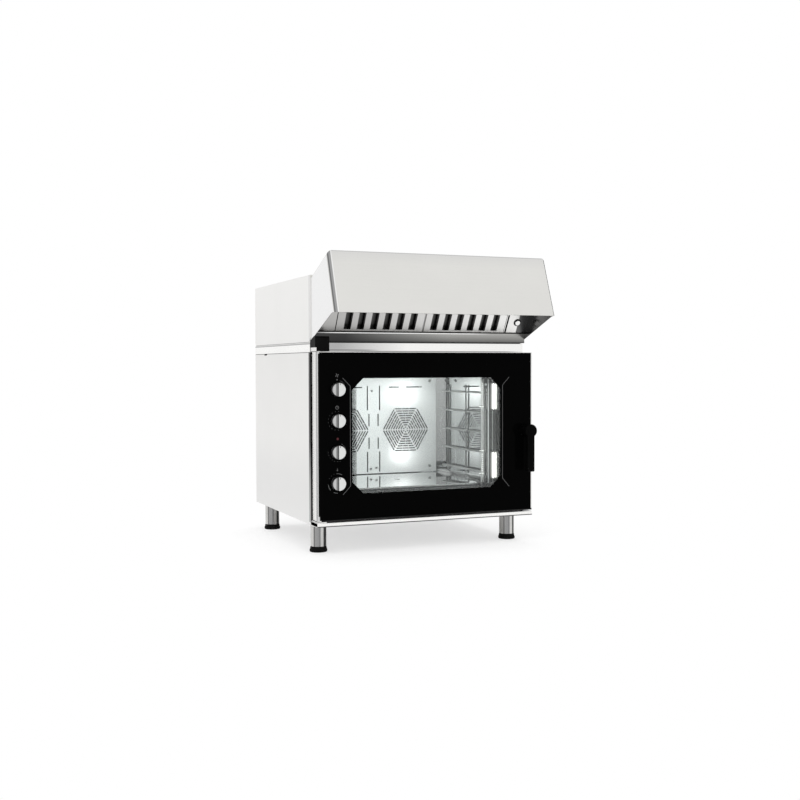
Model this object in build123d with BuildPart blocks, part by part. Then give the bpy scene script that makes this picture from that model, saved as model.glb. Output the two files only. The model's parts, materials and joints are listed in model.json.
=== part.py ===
from build123d import *
import os
from math import asin, cos, degrees, radians, sin, tan

os.makedirs("parts", exist_ok=True)

# Bakery convection oven on four legs with an extraction hood. Millimetres, X to the right, Y to the rear, Z up.
# Every depth below is counted from the cabinet's front plane, and every height from the floor.

# Sheet metal and fits
panel = 1.2
plate = 1.5
seat = 0.3
running = 0.05
rod_hole_gap = 1.0

# Chamber, with room for trays of 600 x 400
chamber_width = 636.0
chamber_height = 440.0
chamber_depth = 592.0
chamber_corner = 18.0
chamber_flange = 14.0
insulation = 50.0

# Cabinet: rooms between the chamber and the casing
side_room = 132.0
floor_room = 114.5
roof_room = 26.5
rear_room = 29.5
cover_drop = 36.0
side_seam = 1.5
flange = 18.0
frame_flange = 20.0
rear_reach = 30.0
notch_inset = 167.0
notch_length = 40.0
notch_height = 5.0

# Base and legs
leg_height = 110.0
base_height = 15.5
base_lip = 79.0
leg_side_inset = 46.0
leg_front_inset = 51.0
leg_rear_inset = 91.0
leg_tube_d = 60.0
leg_tube_wall = 1.5
leg_plug_height = 12.0
foot_height = 22.0
foot_d = 68.0
foot_stem_d = 12.0
foot_travel = 20.0

# Fan deflector and its hexagonal grilles
deflector_side_gap = 33.0
deflector_floor_gap = 3.0
deflector_roof_gap = 15.0
deflector_return = 12.0
grille_share = 0.43868
grille_rise = 189.0
grille_radius = 105.0
grille_rings = 9
grille_slot = 3.6
grille_bridge = 4.0
dash_step = 3

# Chamber fans and heaters
fan_d = 190.0
fan_width = 48.0
fan_gap = 22.0
fan_rear_room = 38.0
fan_blades = 20
fan_shaft_d = 14.0
heater_d = 226.0
heater_tube_d = 8.4
heater_pitch = 28.0
motor_d = 130.0
motor_length = 104.0
motor_stud_d = 8.0

# Racks
tray_gap = 18.0
rack_levels = 5
rack_pitch = 80.0
rack_rise = 36.0
rack_wire = 6.0
rack_post = 6.0
rack_front = 40.0
rack_rear_gap = 48.0
rack_bearing = 9.0

# Door
door_side_left = 4.5
door_side_right = 2.0
door_foot_gap = 5.5
door_head_lap = 0.2
door_gap = 4.5
door_thickness = 75.5
door_wall = 3.0
door_skin = 1.5
glass_side = 4.8
glass_top = 2.0
glass_bottom = 4.0
glass_thickness = 4.0
groove_start = 10.0
groove_width = 11.0
groove_depth = 1.6
window_left_lap = 4.0
window_right_lap = 14.0
window_floor_drop = 11.0
window_roof_lap = 20.0
window_chamfer = 45.0
inner_glass_lap = 8.0

# Controls in the door
knob_inset = 78.0
knob_drop = 41.0
knob_pitch = 116.0
knob_count = 4
knob_d = 52.0
knob_skirt = 9.0
knob_height = 26.0
knob_grip = 13.0
knob_hub_d = 10.0
switch_size = 44.0
switch_depth = 38.0
carrier_gap = 6.0
lamp_channel_width = 53.0
lamp_channel_gap = 2.0
lamp_width = 37.0
lamp_height = 110.0
lamp_depth = 24.0
lamp_rise = 27.0
lamp_drop = 21.0
pilot_d = 7.0

# Handle
handle_inset = 34.0
handle_drop = 11.0
handle_boss_d = 52.0
handle_reach = 55.0
handle_width = 31.0
handle_length = 161.0
handle_grip_thickness = 23.0
spindle_d = 14.0
latch_reach = 20.0
latch_width = 10.0
latch_depth = 14.0

# Door hinge
hinge_inset = 20.0
hinge_depth = 45.0
hinge_pin_d = 12.0
hinge_bush_d = 20.0
hinge_bush_length = 18.0
hinge_block = 14.0
hinge_cover_width = 50.0
hinge_cover_reach = 57.0
hinge_cover_rise = 22.0
hinge_cover_wall = 2.0

# Hood
hood_height = 252.0
hood_foot = 3.0
hood_flange = 20.0
canopy_inset = 4.0
canopy_top_length = 201.0
canopy_top_tilt = 21.5
canopy_face_length = 240.0
canopy_face_tilt = 20.5
canopy_low_tilt = 21.0
canopy_low_rise = 8.0
canopy_bend = 18.0
canopy_lip = 20.0
canopy_flange = 15.0
filter_tilt = 30.0
filter_foot_depth = 20.0
filter_foot_rise = 40.0
filter_shift = -4.0
filter_filler = 97.0
filter_head = 74.3
filter_thick = 25.0
filter_gap = 1.2
filter_lift = 12.0
filter_slots = 6
filter_pitch = 52.5
filter_slot = 28.0
filter_rail = 12.0
filter_rim = 6.0
filter_sheet = 1.0
filter_baffle = 40.0
filter_baffle_leg = 14.0
button_inset = 49.0
button_rise = 50.0
button_d = 22.0
button_bezel_d = 30.0
button_travel = 3.0

# Hood blower and exhaust
spigot_d = 150.0
spigot_height = 60.0
spigot_inset = 180.0
scroll_r = 105.0
scroll_width = 120.0
blower_rise = 136.0
blower_d = 160.0
blower_width = 90.0
blower_blades = 24
blower_shaft_d = 12.0
blower_motor_d = 104.0
blower_motor_length = 96.0

# Services
drain_d = 28.0
drain_pipe_d = 26.0
drain_sleeve = 28.0
drain_rise = 50.0
drain_bend = 36.0
vent_d = 40.0
vent_x = 200.0
vent_wall_gap = 48.5
inlet_inset = 120.0
inlet_rise = 140.0
inlet_d = 26.4
gland_inset = 70.0
gland_rise = 60.0
gland_bore_d = 13.0
component_inset = 50.0
component_rear_gap = 220.0
component_length = 280.0
component_height = 300.0
contactor_rise = 238.5
terminal_rise = 78.5

# Derived depths, from the chamber's mouth to the cabinet's rear
wall_rear = plate + chamber_depth
wool_rear = wall_rear + plate + insulation
motor_front = wool_rear + seat
cabinet_depth = motor_front + motor_length + rear_room + panel
deflector_depth = wall_rear - fan_rear_room - fan_width - fan_gap - plate
rack_length = deflector_depth - rack_front - rack_rear_gap
spigot_depth = cabinet_depth - spigot_inset
vent_depth = wall_rear - vent_wall_gap
component_depth = cabinet_depth - component_rear_gap - component_length / 2

# Derived heights
base_top = leg_height + base_height
chamber_floor = base_top + floor_room
chamber_top = chamber_floor + chamber_height
chamber_mid = chamber_floor + chamber_height / 2
cover_bottom = chamber_top + plate + insulation + roof_room
cabinet_top = cover_bottom + cover_drop
hood_top = cabinet_top + hood_height
deflector_height = chamber_height - deflector_floor_gap - deflector_roof_gap
grille_centre = chamber_floor + grille_rise
rack_first = chamber_floor + rack_rise
door_bottom = base_top + door_foot_gap
door_top = cover_bottom + door_head_lap
window_bottom = chamber_floor - window_floor_drop
window_top = chamber_top - window_roof_lap
knob_top = window_top - knob_drop
lamp_low = window_bottom + lamp_rise
lamp_high = window_top - lamp_drop - lamp_height
handle_z = chamber_mid - handle_drop
hinge_cover_top = cabinet_top + hinge_cover_rise
drain_height = leg_height + drain_rise
inlet_height = leg_height + inlet_rise
gland_height = leg_height + gland_rise

# Derived widths
width = chamber_width + 2 * side_room
half = width / 2
deflector_width = chamber_width - 2 * deflector_side_gap
tray_width = chamber_width - 2 * tray_gap
window_left = chamber_width / 2 - window_left_lap
window_right = chamber_width / 2 - window_right_lap
carrier_right = window_left + carrier_gap
lamp_right = window_right + lamp_channel_gap
lamp_left = lamp_right - lamp_channel_width
knob_x = half - knob_inset
handle_x = half - handle_inset
hinge_x = half - hinge_inset
filter_width = half - filter_filler
button_x = half - button_inset
inlet_x = half - inlet_inset
gland_x = half - gland_inset
plate_x = half - component_inset

# Derived frame: the origin is under the middle of the whole outline, on the floor
top_run = canopy_top_length * cos(radians(canopy_top_tilt))
top_rise = canopy_top_length * sin(radians(canopy_top_tilt))
face_run = canopy_face_length * sin(radians(canopy_face_tilt))
face_drop = canopy_face_length * cos(radians(canopy_face_tilt))
nose_reach = top_run + face_run
front_y = nose_reach - (nose_reach + cabinet_depth + rear_reach) / 2

# Derived spacing of the grilles, fans and motors
grille_spacing = chamber_width * grille_share

# Derived places of the ring heaters' ends
heater_end = heater_tube_d + 2
heater_drop = (heater_d**2 / 4 - heater_end**2) ** 0.5
heater_open = degrees(asin(2 * heater_end / heater_d))


def level(height, x=0.0, depth=0.0):
    """Horizontal plane: local x is X and local y is depth."""
    return Plane(origin=(x, front_y + depth, height), x_dir=(1, 0, 0), z_dir=(0, 0, 1))


def facing(depth, x=0.0, height=0.0):
    """Upright plane that faces the front: local x is X and local y is height, and its normal points forward."""
    return Plane(origin=(x, front_y + depth, height), x_dir=(1, 0, 0), z_dir=(0, -1, 0))


def side(x, depth=0.0, height=0.0):
    """Upright plane that faces the right: local x is depth and local y is height."""
    return Plane(origin=(x, front_y + depth, height), x_dir=(0, 1, 0), z_dir=(1, 0, 0))


def crossing(p, a, q, b):
    """Point where the line through p along a meets the line through q along b."""
    share = ((q[0] - p[0]) * b[1] - (q[1] - p[1]) * b[0]) / (a[0] * b[1] - a[1] * b[0])
    return (p[0] + share * a[0], p[1] + share * a[1])


def save(part, name):
    """Label a finished piece and write it under its own name."""
    part.label = name
    export_step(part, f"parts/{name}.step")


# Base tray with the closed lip that reaches forward under the door
base_half = half - panel
base_rear = cabinet_depth - panel
with BuildPart() as base_frame:
    with BuildSketch(side(-half)):
        with BuildLine():
            Polyline(
                (-base_lip, leg_height),
                (base_rear, leg_height),
                (base_rear, base_top),
                (base_rear - plate, base_top),
                (base_rear - plate, leg_height + plate),
                (-base_lip + plate, leg_height + plate),
                (-base_lip + plate, base_top - plate),
                (frame_flange, base_top - plate),
                (frame_flange, base_top),
                (-base_lip, base_top),
                close=True,
            )
        make_face()
    extrude(amount=width)
    with BuildSketch(level(leg_height)):
        for hand in (-1, 1):
            with Locations((hand * (base_half + panel / 2), cabinet_depth / 2)):
                Rectangle(panel, cabinet_depth)
    extrude(amount=base_height, mode=Mode.SUBTRACT)
    lip_edges = base_frame.edges().filter_by(Axis.X).group_by(Axis.Y)[0]
    fillet(lip_edges, radius=plate)
save(base_frame.part, "base_frame")

# Legs: four steel tubes, each with the threaded plug that the foot's stem runs in
leg_places = [
    (hand * (half - leg_side_inset), depth)
    for hand in (-1, 1)
    for depth in (leg_front_inset, cabinet_depth - leg_rear_inset)
]
with BuildPart() as leg_tubes:
    with BuildSketch(level(foot_height + seat)):
        with Locations(*leg_places):
            Circle(leg_tube_d / 2)
            Circle(leg_tube_d / 2 - leg_tube_wall, mode=Mode.SUBTRACT)
    extrude(amount=leg_height - foot_height - seat)
    with BuildSketch(level(foot_height + foot_travel)):
        with Locations(*leg_places):
            Circle(leg_tube_d / 2 - leg_tube_wall)
            Circle(foot_stem_d / 2 + running, mode=Mode.SUBTRACT)
    extrude(amount=leg_plug_height)
    with BuildSketch(level(leg_height - 2 * plate)):
        with Locations(*leg_places):
            Circle(leg_tube_d / 2 - leg_tube_wall)
    extrude(amount=2 * plate)
save(leg_tubes.part, "leg_tubes")

foot_names = ["foot_front_left", "foot_rear_left", "foot_front_right", "foot_rear_right"]
stem_top = leg_height - 2 * plate - 3 * seat
for foot_name, (foot_x, foot_depth) in zip(foot_names, leg_places):
    with BuildPart() as foot:
        with BuildSketch(side(foot_x, foot_depth)):
            with BuildLine():
                Polyline(
                    (0, 0),
                    (foot_d / 2 - 3, 0),
                    (foot_d / 2, 3),
                    (foot_d / 2, foot_height * 0.4),
                    (leg_tube_d / 2, foot_height),
                    (foot_stem_d / 2, foot_height),
                    (foot_stem_d / 2, stem_top),
                    (0, stem_top),
                    close=True,
                )
            make_face()
        revolve(axis=Axis((foot_x, front_y + foot_depth, 0), (0, 0, 1)))
    save(foot.part, foot_name)

# Side panels, with the small notch near the rear of their top edge
side_top = cover_bottom - side_seam
notch_depth = cabinet_depth - notch_inset
for side_name, hand in (("side_panel_left", -1), ("side_panel_right", 1)):
    with BuildPart() as side_panel:
        with BuildSketch(side(hand * half)):
            with Locations((cabinet_depth / 2, (leg_height + side_top) / 2)):
                Rectangle(cabinet_depth, side_top - leg_height)
            with Locations((notch_depth, side_top - notch_height / 2)):
                Rectangle(notch_length, notch_height, mode=Mode.SUBTRACT)
        extrude(amount=-hand * panel)
        with BuildSketch(level(side_top - notch_height)):
            with Locations((hand * (half - panel - flange / 2), cabinet_depth / 2)):
                Rectangle(flange, cabinet_depth - 4 * plate)
        extrude(amount=-panel)
    save(side_panel.part, side_name)

# Rear panel with louvre slots behind each motor and holes for the services
motor_x = grille_spacing / 2
louvre_rows = 11
louvre_pitch = 16.0
louvre_length = 110.0
louvre_width = 6.0
rear_inner = cabinet_depth - panel
with BuildPart() as rear_panel:
    with BuildSketch(facing(rear_inner)):
        with Locations((0, (leg_height + cover_bottom) / 2)):
            Rectangle(2 * base_half, cover_bottom - leg_height)
        for hand in (-1, 1):
            with Locations((hand * motor_x, grille_centre)):
                with GridLocations(1, louvre_pitch, 1, louvre_rows):
                    SlotOverall(louvre_length, louvre_width, mode=Mode.SUBTRACT)
        with Locations((0, drain_height)):
            Circle(drain_d / 2 + rod_hole_gap, mode=Mode.SUBTRACT)
        with Locations((inlet_x, inlet_height)):
            Circle(inlet_d / 2 + rod_hole_gap, mode=Mode.SUBTRACT)
        with Locations((gland_x, gland_height)):
            Circle(gland_bore_d / 2 + 4, mode=Mode.SUBTRACT)
    extrude(amount=-panel)
save(rear_panel.part, "rear_panel")

# Top cover: a lid whose flanges hang over the casing, open for the steam vent
cover_notches = (-181.0, -89.0, 65.0)
cover_notch_width = 9.0
cover_notch_height = 2.5
with BuildPart() as top_cover:
    with BuildSketch(level(cover_bottom, 0, cabinet_depth / 2)):
        Rectangle(width, cabinet_depth)
    extrude(amount=cover_drop)
    fillet(top_cover.edges().group_by(Axis.Z)[-1], radius=1.0)
    with BuildSketch(level(cover_bottom, 0, cabinet_depth / 2)):
        Rectangle(width - 2 * panel, cabinet_depth - 2 * panel)
    extrude(amount=cover_drop - panel, mode=Mode.SUBTRACT)
    with BuildSketch(level(cover_bottom, vent_x, vent_depth)):
        Circle(vent_d / 2 + rod_hole_gap)
    extrude(amount=cover_drop + 1, mode=Mode.SUBTRACT)
    with BuildSketch(facing(panel + 1)):
        for notch_x in cover_notches:
            with Locations((notch_x, cover_bottom + cover_notch_height / 2)):
                Rectangle(cover_notch_width, cover_notch_height)
    extrude(amount=panel + 2, mode=Mode.SUBTRACT)
save(top_cover.part, "top_cover")

# Front frame: a head rail, a sill rail and two stiles round the chamber's mouth, with returns along their edges
frame_half = base_half - seat
frame_seam = 0.2
frame_seam_inset = 1.0
latch_window = 2 * latch_reach + 18
with BuildPart() as front_frame:
    with BuildSketch(facing(plate)):
        with Locations((0, (base_top + cover_bottom) / 2)):
            Rectangle(2 * frame_half, cover_bottom - base_top)
        with Locations((0, chamber_mid)):
            RectangleRounded(chamber_width, chamber_height, chamber_corner, mode=Mode.SUBTRACT)
        with Locations((handle_x, handle_z)):
            RectangleRounded(latch_window, latch_window, 4, mode=Mode.SUBTRACT)
    extrude(amount=plate)
    with BuildSketch(facing(plate)):
        for hand in (-1, 1):
            with Locations((hand * (frame_half - plate / 2), (base_top + cover_bottom) / 2)):
                Rectangle(plate, cover_bottom - base_top - 2 * flange)
        with Locations((0, cover_bottom - plate / 2)):
            Rectangle(2 * (frame_half - flange), plate)
    extrude(amount=-frame_flange)
    with BuildSketch(facing(-1)):
        for seam_height in (chamber_floor + frame_seam_inset, chamber_top - frame_seam_inset):
            with Locations((0, seam_height)):
                Rectangle(2 * frame_half + 2, frame_seam)
    extrude(amount=-(frame_flange + plate + 2), mode=Mode.SUBTRACT)
save(front_frame.part, "front_frame")

# Chamber: five walls with rounded long edges and a flange behind the front frame
with BuildPart() as chamber:
    with BuildSketch(facing(wall_rear + plate, 0, chamber_mid)):
        RectangleRounded(chamber_width + 2 * plate, chamber_height + 2 * plate, chamber_corner + plate)
    extrude(amount=chamber_depth + plate)
    with BuildSketch(facing(2 * plate, 0, chamber_mid)):
        RectangleRounded(
            chamber_width + 2 * plate + 2 * chamber_flange,
            chamber_height + 2 * plate + 2 * chamber_flange,
            chamber_corner + plate + chamber_flange,
        )
    extrude(amount=plate)
    with BuildSketch(facing(wall_rear, 0, chamber_mid)):
        RectangleRounded(chamber_width, chamber_height, chamber_corner)
    extrude(amount=chamber_depth, mode=Mode.SUBTRACT)
    with BuildSketch(facing(wall_rear + 2 * plate)):
        for hand in (-1, 1):
            with Locations((hand * motor_x, grille_centre)):
                Circle(fan_shaft_d / 2 + 2)
            with Locations((hand * motor_x, grille_centre - heater_drop)):
                with GridLocations(2 * heater_end, 1, 2, 1):
                    Circle(heater_tube_d / 2 + seat)
    extrude(amount=3 * plate, mode=Mode.SUBTRACT)
    with BuildSketch(level(chamber_floor - 2 * plate, 0, deflector_depth / 2)):
        Circle(drain_pipe_d / 2 - plate)
    extrude(amount=3 * plate, mode=Mode.SUBTRACT)
    with BuildSketch(level(chamber_top - plate, vent_x, vent_depth)):
        Circle(vent_d / 2 - plate)
    extrude(amount=3 * plate, mode=Mode.SUBTRACT)
save(chamber.part, "chamber")

# Rock wool round the chamber, pierced for shafts, studs, heater ends and pipes
wool_front = 2 * plate
stud_ring_d = motor_d - 3 * motor_stud_d
with BuildPart() as insulation_wrap:
    with BuildSketch(facing(wool_rear, 0, chamber_mid)):
        Rectangle(chamber_width + 2 * plate + 2 * insulation, chamber_height + 2 * plate + 2 * insulation)
    extrude(amount=wool_rear - wool_front)
    with BuildSketch(facing(wall_rear + plate, 0, chamber_mid)):
        RectangleRounded(chamber_width + 2 * plate, chamber_height + 2 * plate, chamber_corner + plate)
    extrude(amount=wall_rear + plate - wool_front, mode=Mode.SUBTRACT)
    with BuildSketch(facing(wool_rear + 1)):
        for hand in (-1, 1):
            with Locations((hand * motor_x, grille_centre)):
                Circle(fan_shaft_d / 2 + 4)
                with PolarLocations(stud_ring_d / 2, 4, start_angle=45):
                    Circle(motor_stud_d / 2 + seat)
            with Locations((hand * motor_x, grille_centre - heater_drop)):
                with GridLocations(2 * heater_end, 1, 2, 1):
                    Circle(heater_tube_d / 2 + seat)
    extrude(amount=insulation + 2, mode=Mode.SUBTRACT)
    with BuildSketch(level(chamber_floor - plate, 0, deflector_depth / 2)):
        Circle(drain_d / 2 + 3 * plate)
    extrude(amount=-insulation - 1, mode=Mode.SUBTRACT)
    with BuildSketch(level(chamber_top, vent_x, vent_depth)):
        Circle(vent_d / 2 + 6 * plate)
    extrude(amount=insulation + 2 * plate, mode=Mode.SUBTRACT)
save(insulation_wrap.part, "insulation")

# Fan deflector: hexagonal grilles of concentric dashed slots, slots between them, returns and studs behind
deflector_bottom = chamber_floor + deflector_floor_gap
deflector_mid = deflector_bottom + deflector_height / 2
stand_off = wall_rear - deflector_depth - plate
middle_slots = (
    (-38.0, 88.0, 103.0),
    (18.0, 88.0, 103.0),
    (-38.0, -179.0, 86.0),
    (18.0, -179.0, 86.0),
    (-31.0, 19.0, 51.0),
    (11.0, 19.0, 51.0),
    (-31.0, -79.0, 47.0),
    (11.0, -79.0, 47.0),
)
top_slot_rise = 185.0
top_slots = ((-179.0, 76.0), (-86.0, 46.0), (86.0, 46.0), (179.0, 76.0))


def ring_places(ring, dashes, side_length):
    """Places of one ring's slots round the grille's centre, each turned along its side of the hexagon."""
    inradius = grille_radius * ring / grille_rings * cos(radians(30))
    places = []
    for turn in range(6):
        angle = 30 + 60 * turn
        for index in range(dashes):
            along = (index - (dashes - 1) / 2) * side_length / dashes
            x = inradius * cos(radians(angle)) - along * sin(radians(angle))
            y = inradius * sin(radians(angle)) + along * cos(radians(angle))
            places.append(Location((x, y, 0), (0, 0, angle + 90)))
    return places


with BuildPart() as fan_deflector:
    with BuildSketch(facing(deflector_depth, 0, deflector_mid)):
        Rectangle(deflector_width, deflector_height)
        for ring in range(1, grille_rings + 1):
            side_length = grille_radius * ring / grille_rings - grille_bridge
            dashes = (ring - 1) // dash_step + 1
            with Locations((-motor_x, grille_centre - deflector_mid), (motor_x, grille_centre - deflector_mid)):
                with Locations(*ring_places(ring, dashes, side_length)):
                    Rectangle(side_length / dashes - grille_bridge, grille_slot, mode=Mode.SUBTRACT)
        for slot_x, slot_low, slot_length in middle_slots:
            with Locations((slot_x, grille_centre - deflector_mid + slot_low + slot_length / 2)):
                Rectangle(grille_slot, slot_length, mode=Mode.SUBTRACT)
        for slot_x, slot_length in top_slots:
            with Locations((slot_x, grille_centre - deflector_mid + top_slot_rise)):
                Rectangle(slot_length, grille_slot, mode=Mode.SUBTRACT)
    extrude(amount=-plate)
    with BuildSketch(facing(deflector_depth + plate, 0, deflector_mid)):
        for hand in (-1, 1):
            with Locations((hand * (deflector_width - plate) / 2, 0)):
                Rectangle(plate, deflector_height)
    extrude(amount=-deflector_return)
    with BuildSketch(facing(deflector_depth + plate, 0, deflector_mid)):
        with GridLocations(deflector_width - 60, deflector_height - 50, 2, 2):
            Circle(7)
    extrude(amount=-stand_off)
save(fan_deflector.part, "fan_deflector")

# Chamber fans: radial blades between a back disc and a front ring, on the hub that runs through to the motor
fan_front = deflector_depth + plate + fan_gap
fan_rear = fan_front + fan_width
hub_r = 17.0
blade_root = 48.0
ring_inner = 66.0
for fan_name, hand in (("chamber_fan_left", -1), ("chamber_fan_right", 1)):
    with BuildPart() as chamber_fan:
        with BuildSketch(facing(fan_rear, hand * motor_x, grille_centre)):
            Circle(fan_d / 2)
        extrude(amount=plate)
        with BuildSketch(facing(fan_front + plate, hand * motor_x, grille_centre)):
            Circle(fan_d / 2)
            Circle(ring_inner, mode=Mode.SUBTRACT)
        extrude(amount=plate)
        with BuildSketch(facing(fan_rear - plate, hand * motor_x, grille_centre)):
            for blade in range(fan_blades):
                turn = 360 / fan_blades * blade
                blade_mid = (blade_root + fan_d / 2) / 2
                x = blade_mid * cos(radians(turn))
                y = blade_mid * sin(radians(turn))
                with Locations(Location((x, y, 0), (0, 0, turn + 12))):
                    Rectangle(fan_d / 2 - blade_root, plate)
        extrude(amount=fan_width - 2 * plate)
        with BuildSketch(facing(fan_rear, hand * motor_x, grille_centre)):
            Circle(hub_r)
        extrude(amount=fan_width * 0.6)
        with BuildSketch(facing(motor_front + motor_length * 0.8, hand * motor_x, grille_centre)):
            Circle(fan_shaft_d / 2)
        extrude(amount=motor_front + motor_length * 0.8 - fan_rear + plate)
    save(chamber_fan.part, fan_name)

# Ring heaters round the fans: two turns whose ends meet in a pair of sleeves, with leads through the rear wall
heater_first = fan_front + 6
sleeve_length = heater_pitch + 2 * heater_tube_d
for heater_name, hand in (("ring_heater_left", -1), ("ring_heater_right", 1)):
    with BuildPart(facing(heater_first, hand * motor_x, grille_centre)) as ring_heater:
        for turn in range(2):
            with Locations((0, 0, -turn * heater_pitch)):
                Torus(
                    heater_d / 2,
                    heater_tube_d / 2,
                    major_angle=360 - 2 * heater_open,
                    rotation=(0, 0, heater_open - 90),
                )
        lead = wool_rear + 8 - heater_first
        for end_x in (-heater_end, heater_end):
            with Locations((end_x, -heater_drop, -lead / 2)):
                Cylinder(heater_tube_d / 2, lead)
            with Locations((end_x, -heater_drop, -heater_pitch / 2)):
                Cylinder(heater_tube_d / 2 + 2, sleeve_length)
    save(ring_heater.part, heater_name)

# Fan motors, held to the chamber's rear wall by studs through the rock wool
for motor_name, hand in (("fan_motor_left", -1), ("fan_motor_right", 1)):
    with BuildPart() as fan_motor:
        with BuildSketch(facing(motor_front + motor_length, hand * motor_x, grille_centre)):
            Circle(motor_d / 2 - 8)
        extrude(amount=motor_length)
        fillet(fan_motor.edges().group_by(Axis.Y)[-1], radius=8)
        with BuildSketch(facing(motor_front + 5, hand * motor_x, grille_centre)):
            Circle(motor_d / 2)
        extrude(amount=5)
        with BuildSketch(facing(motor_front + motor_length - 30, hand * motor_x, grille_centre)):
            with PolarLocations(motor_d / 2 - 7, 24):
                Rectangle(6, 2.4)
        extrude(amount=motor_length - 50)
        with BuildSketch(facing(motor_front + 1, hand * motor_x, grille_centre)):
            with PolarLocations(stud_ring_d / 2, 4, start_angle=45):
                Circle(motor_stud_d / 2)
        extrude(amount=motor_front + 1 - wall_rear - plate)
        with BuildSketch(facing(motor_front + motor_length * 0.8 + 1, hand * motor_x, grille_centre)):
            Circle(fan_shaft_d / 2 + running)
        extrude(amount=motor_length, mode=Mode.SUBTRACT)
    save(fan_motor.part, motor_name)

# Wire racks: three posts pinned to the wall and one closed wire loop for each tray level
wall_x = chamber_width / 2
loop_inner = tray_width / 2 - rack_bearing
loop_outer = wall_x - 2 * rack_wire
post_x = loop_outer + rack_wire / 2 + rack_post / 2 - 0.5
for rack_name, hand in (("rack_left", -1), ("rack_right", 1)):
    with BuildPart() as rack:
        post_depths = (rack_front + 20, rack_front + rack_length / 2, rack_front + rack_length - 20)
        rack_top = rack_first + (rack_levels - 1) * rack_pitch
        with BuildSketch(level(rack_first - 20)):
            with Locations(*[(hand * post_x, depth) for depth in post_depths]):
                Rectangle(rack_post, rack_post)
        extrude(amount=rack_top - rack_first + 50)
        for step in range(rack_levels):
            with BuildSketch(level(rack_first + step * rack_pitch - rack_wire / 2, 0, rack_front)):
                with Locations((hand * (loop_inner + loop_outer) / 2, rack_length / 2)):
                    RectangleRounded(loop_outer - loop_inner + rack_wire, rack_length, rack_wire)
                    Rectangle(
                        loop_outer - loop_inner - rack_wire,
                        rack_length - 2 * rack_wire,
                        mode=Mode.SUBTRACT,
                    )
            extrude(amount=rack_wire)
        pin_length = wall_x - post_x
        with BuildSketch(side(hand * wall_x)):
            with Locations(*[(depth, z) for depth in post_depths[::2] for z in (rack_first - 12, rack_top + 20)]):
                Circle(rack_wire / 2)
        extrude(amount=-hand * pin_length)
    save(rack.part, rack_name)

# Door seal on the front frame, and the strike with its roller behind the latch window
gasket_lap = 6.0
gasket_width = 12.0
with BuildPart() as door_gasket:
    with BuildSketch(facing(0, 0, chamber_mid)):
        RectangleRounded(
            chamber_width + 2 * gasket_lap + 2 * gasket_width,
            chamber_height + 2 * gasket_lap + 2 * gasket_width,
            chamber_corner + gasket_lap + gasket_width,
        )
        RectangleRounded(
            chamber_width + 2 * gasket_lap,
            chamber_height + 2 * gasket_lap,
            chamber_corner + gasket_lap,
            mode=Mode.SUBTRACT,
        )
    extrude(amount=door_gap - seat)
    chamfer(door_gasket.edges().group_by(Axis.Y)[0], length=1.5)
save(door_gasket.part, "door_gasket")

strike_margin = 5.0
roller_d = 8.0
strike_rear = plate + 3 * plate + latch_depth
with BuildPart() as door_strike:
    with BuildSketch(facing(strike_rear, handle_x, handle_z)):
        Rectangle(latch_window + 2 * strike_margin - 6, latch_window + 2 * strike_margin)
        Rectangle(latch_window - 6, latch_window, mode=Mode.SUBTRACT)
    extrude(amount=strike_rear - plate)
    with BuildSketch(side(handle_x - latch_window / 2 + 1)):
        with Locations((latch_depth / 2, handle_z - latch_reach - roller_d / 2 - 2 * seat)):
            Circle(roller_d / 2)
    extrude(amount=latch_window - 2)
save(door_strike.part, "door_strike")

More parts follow.
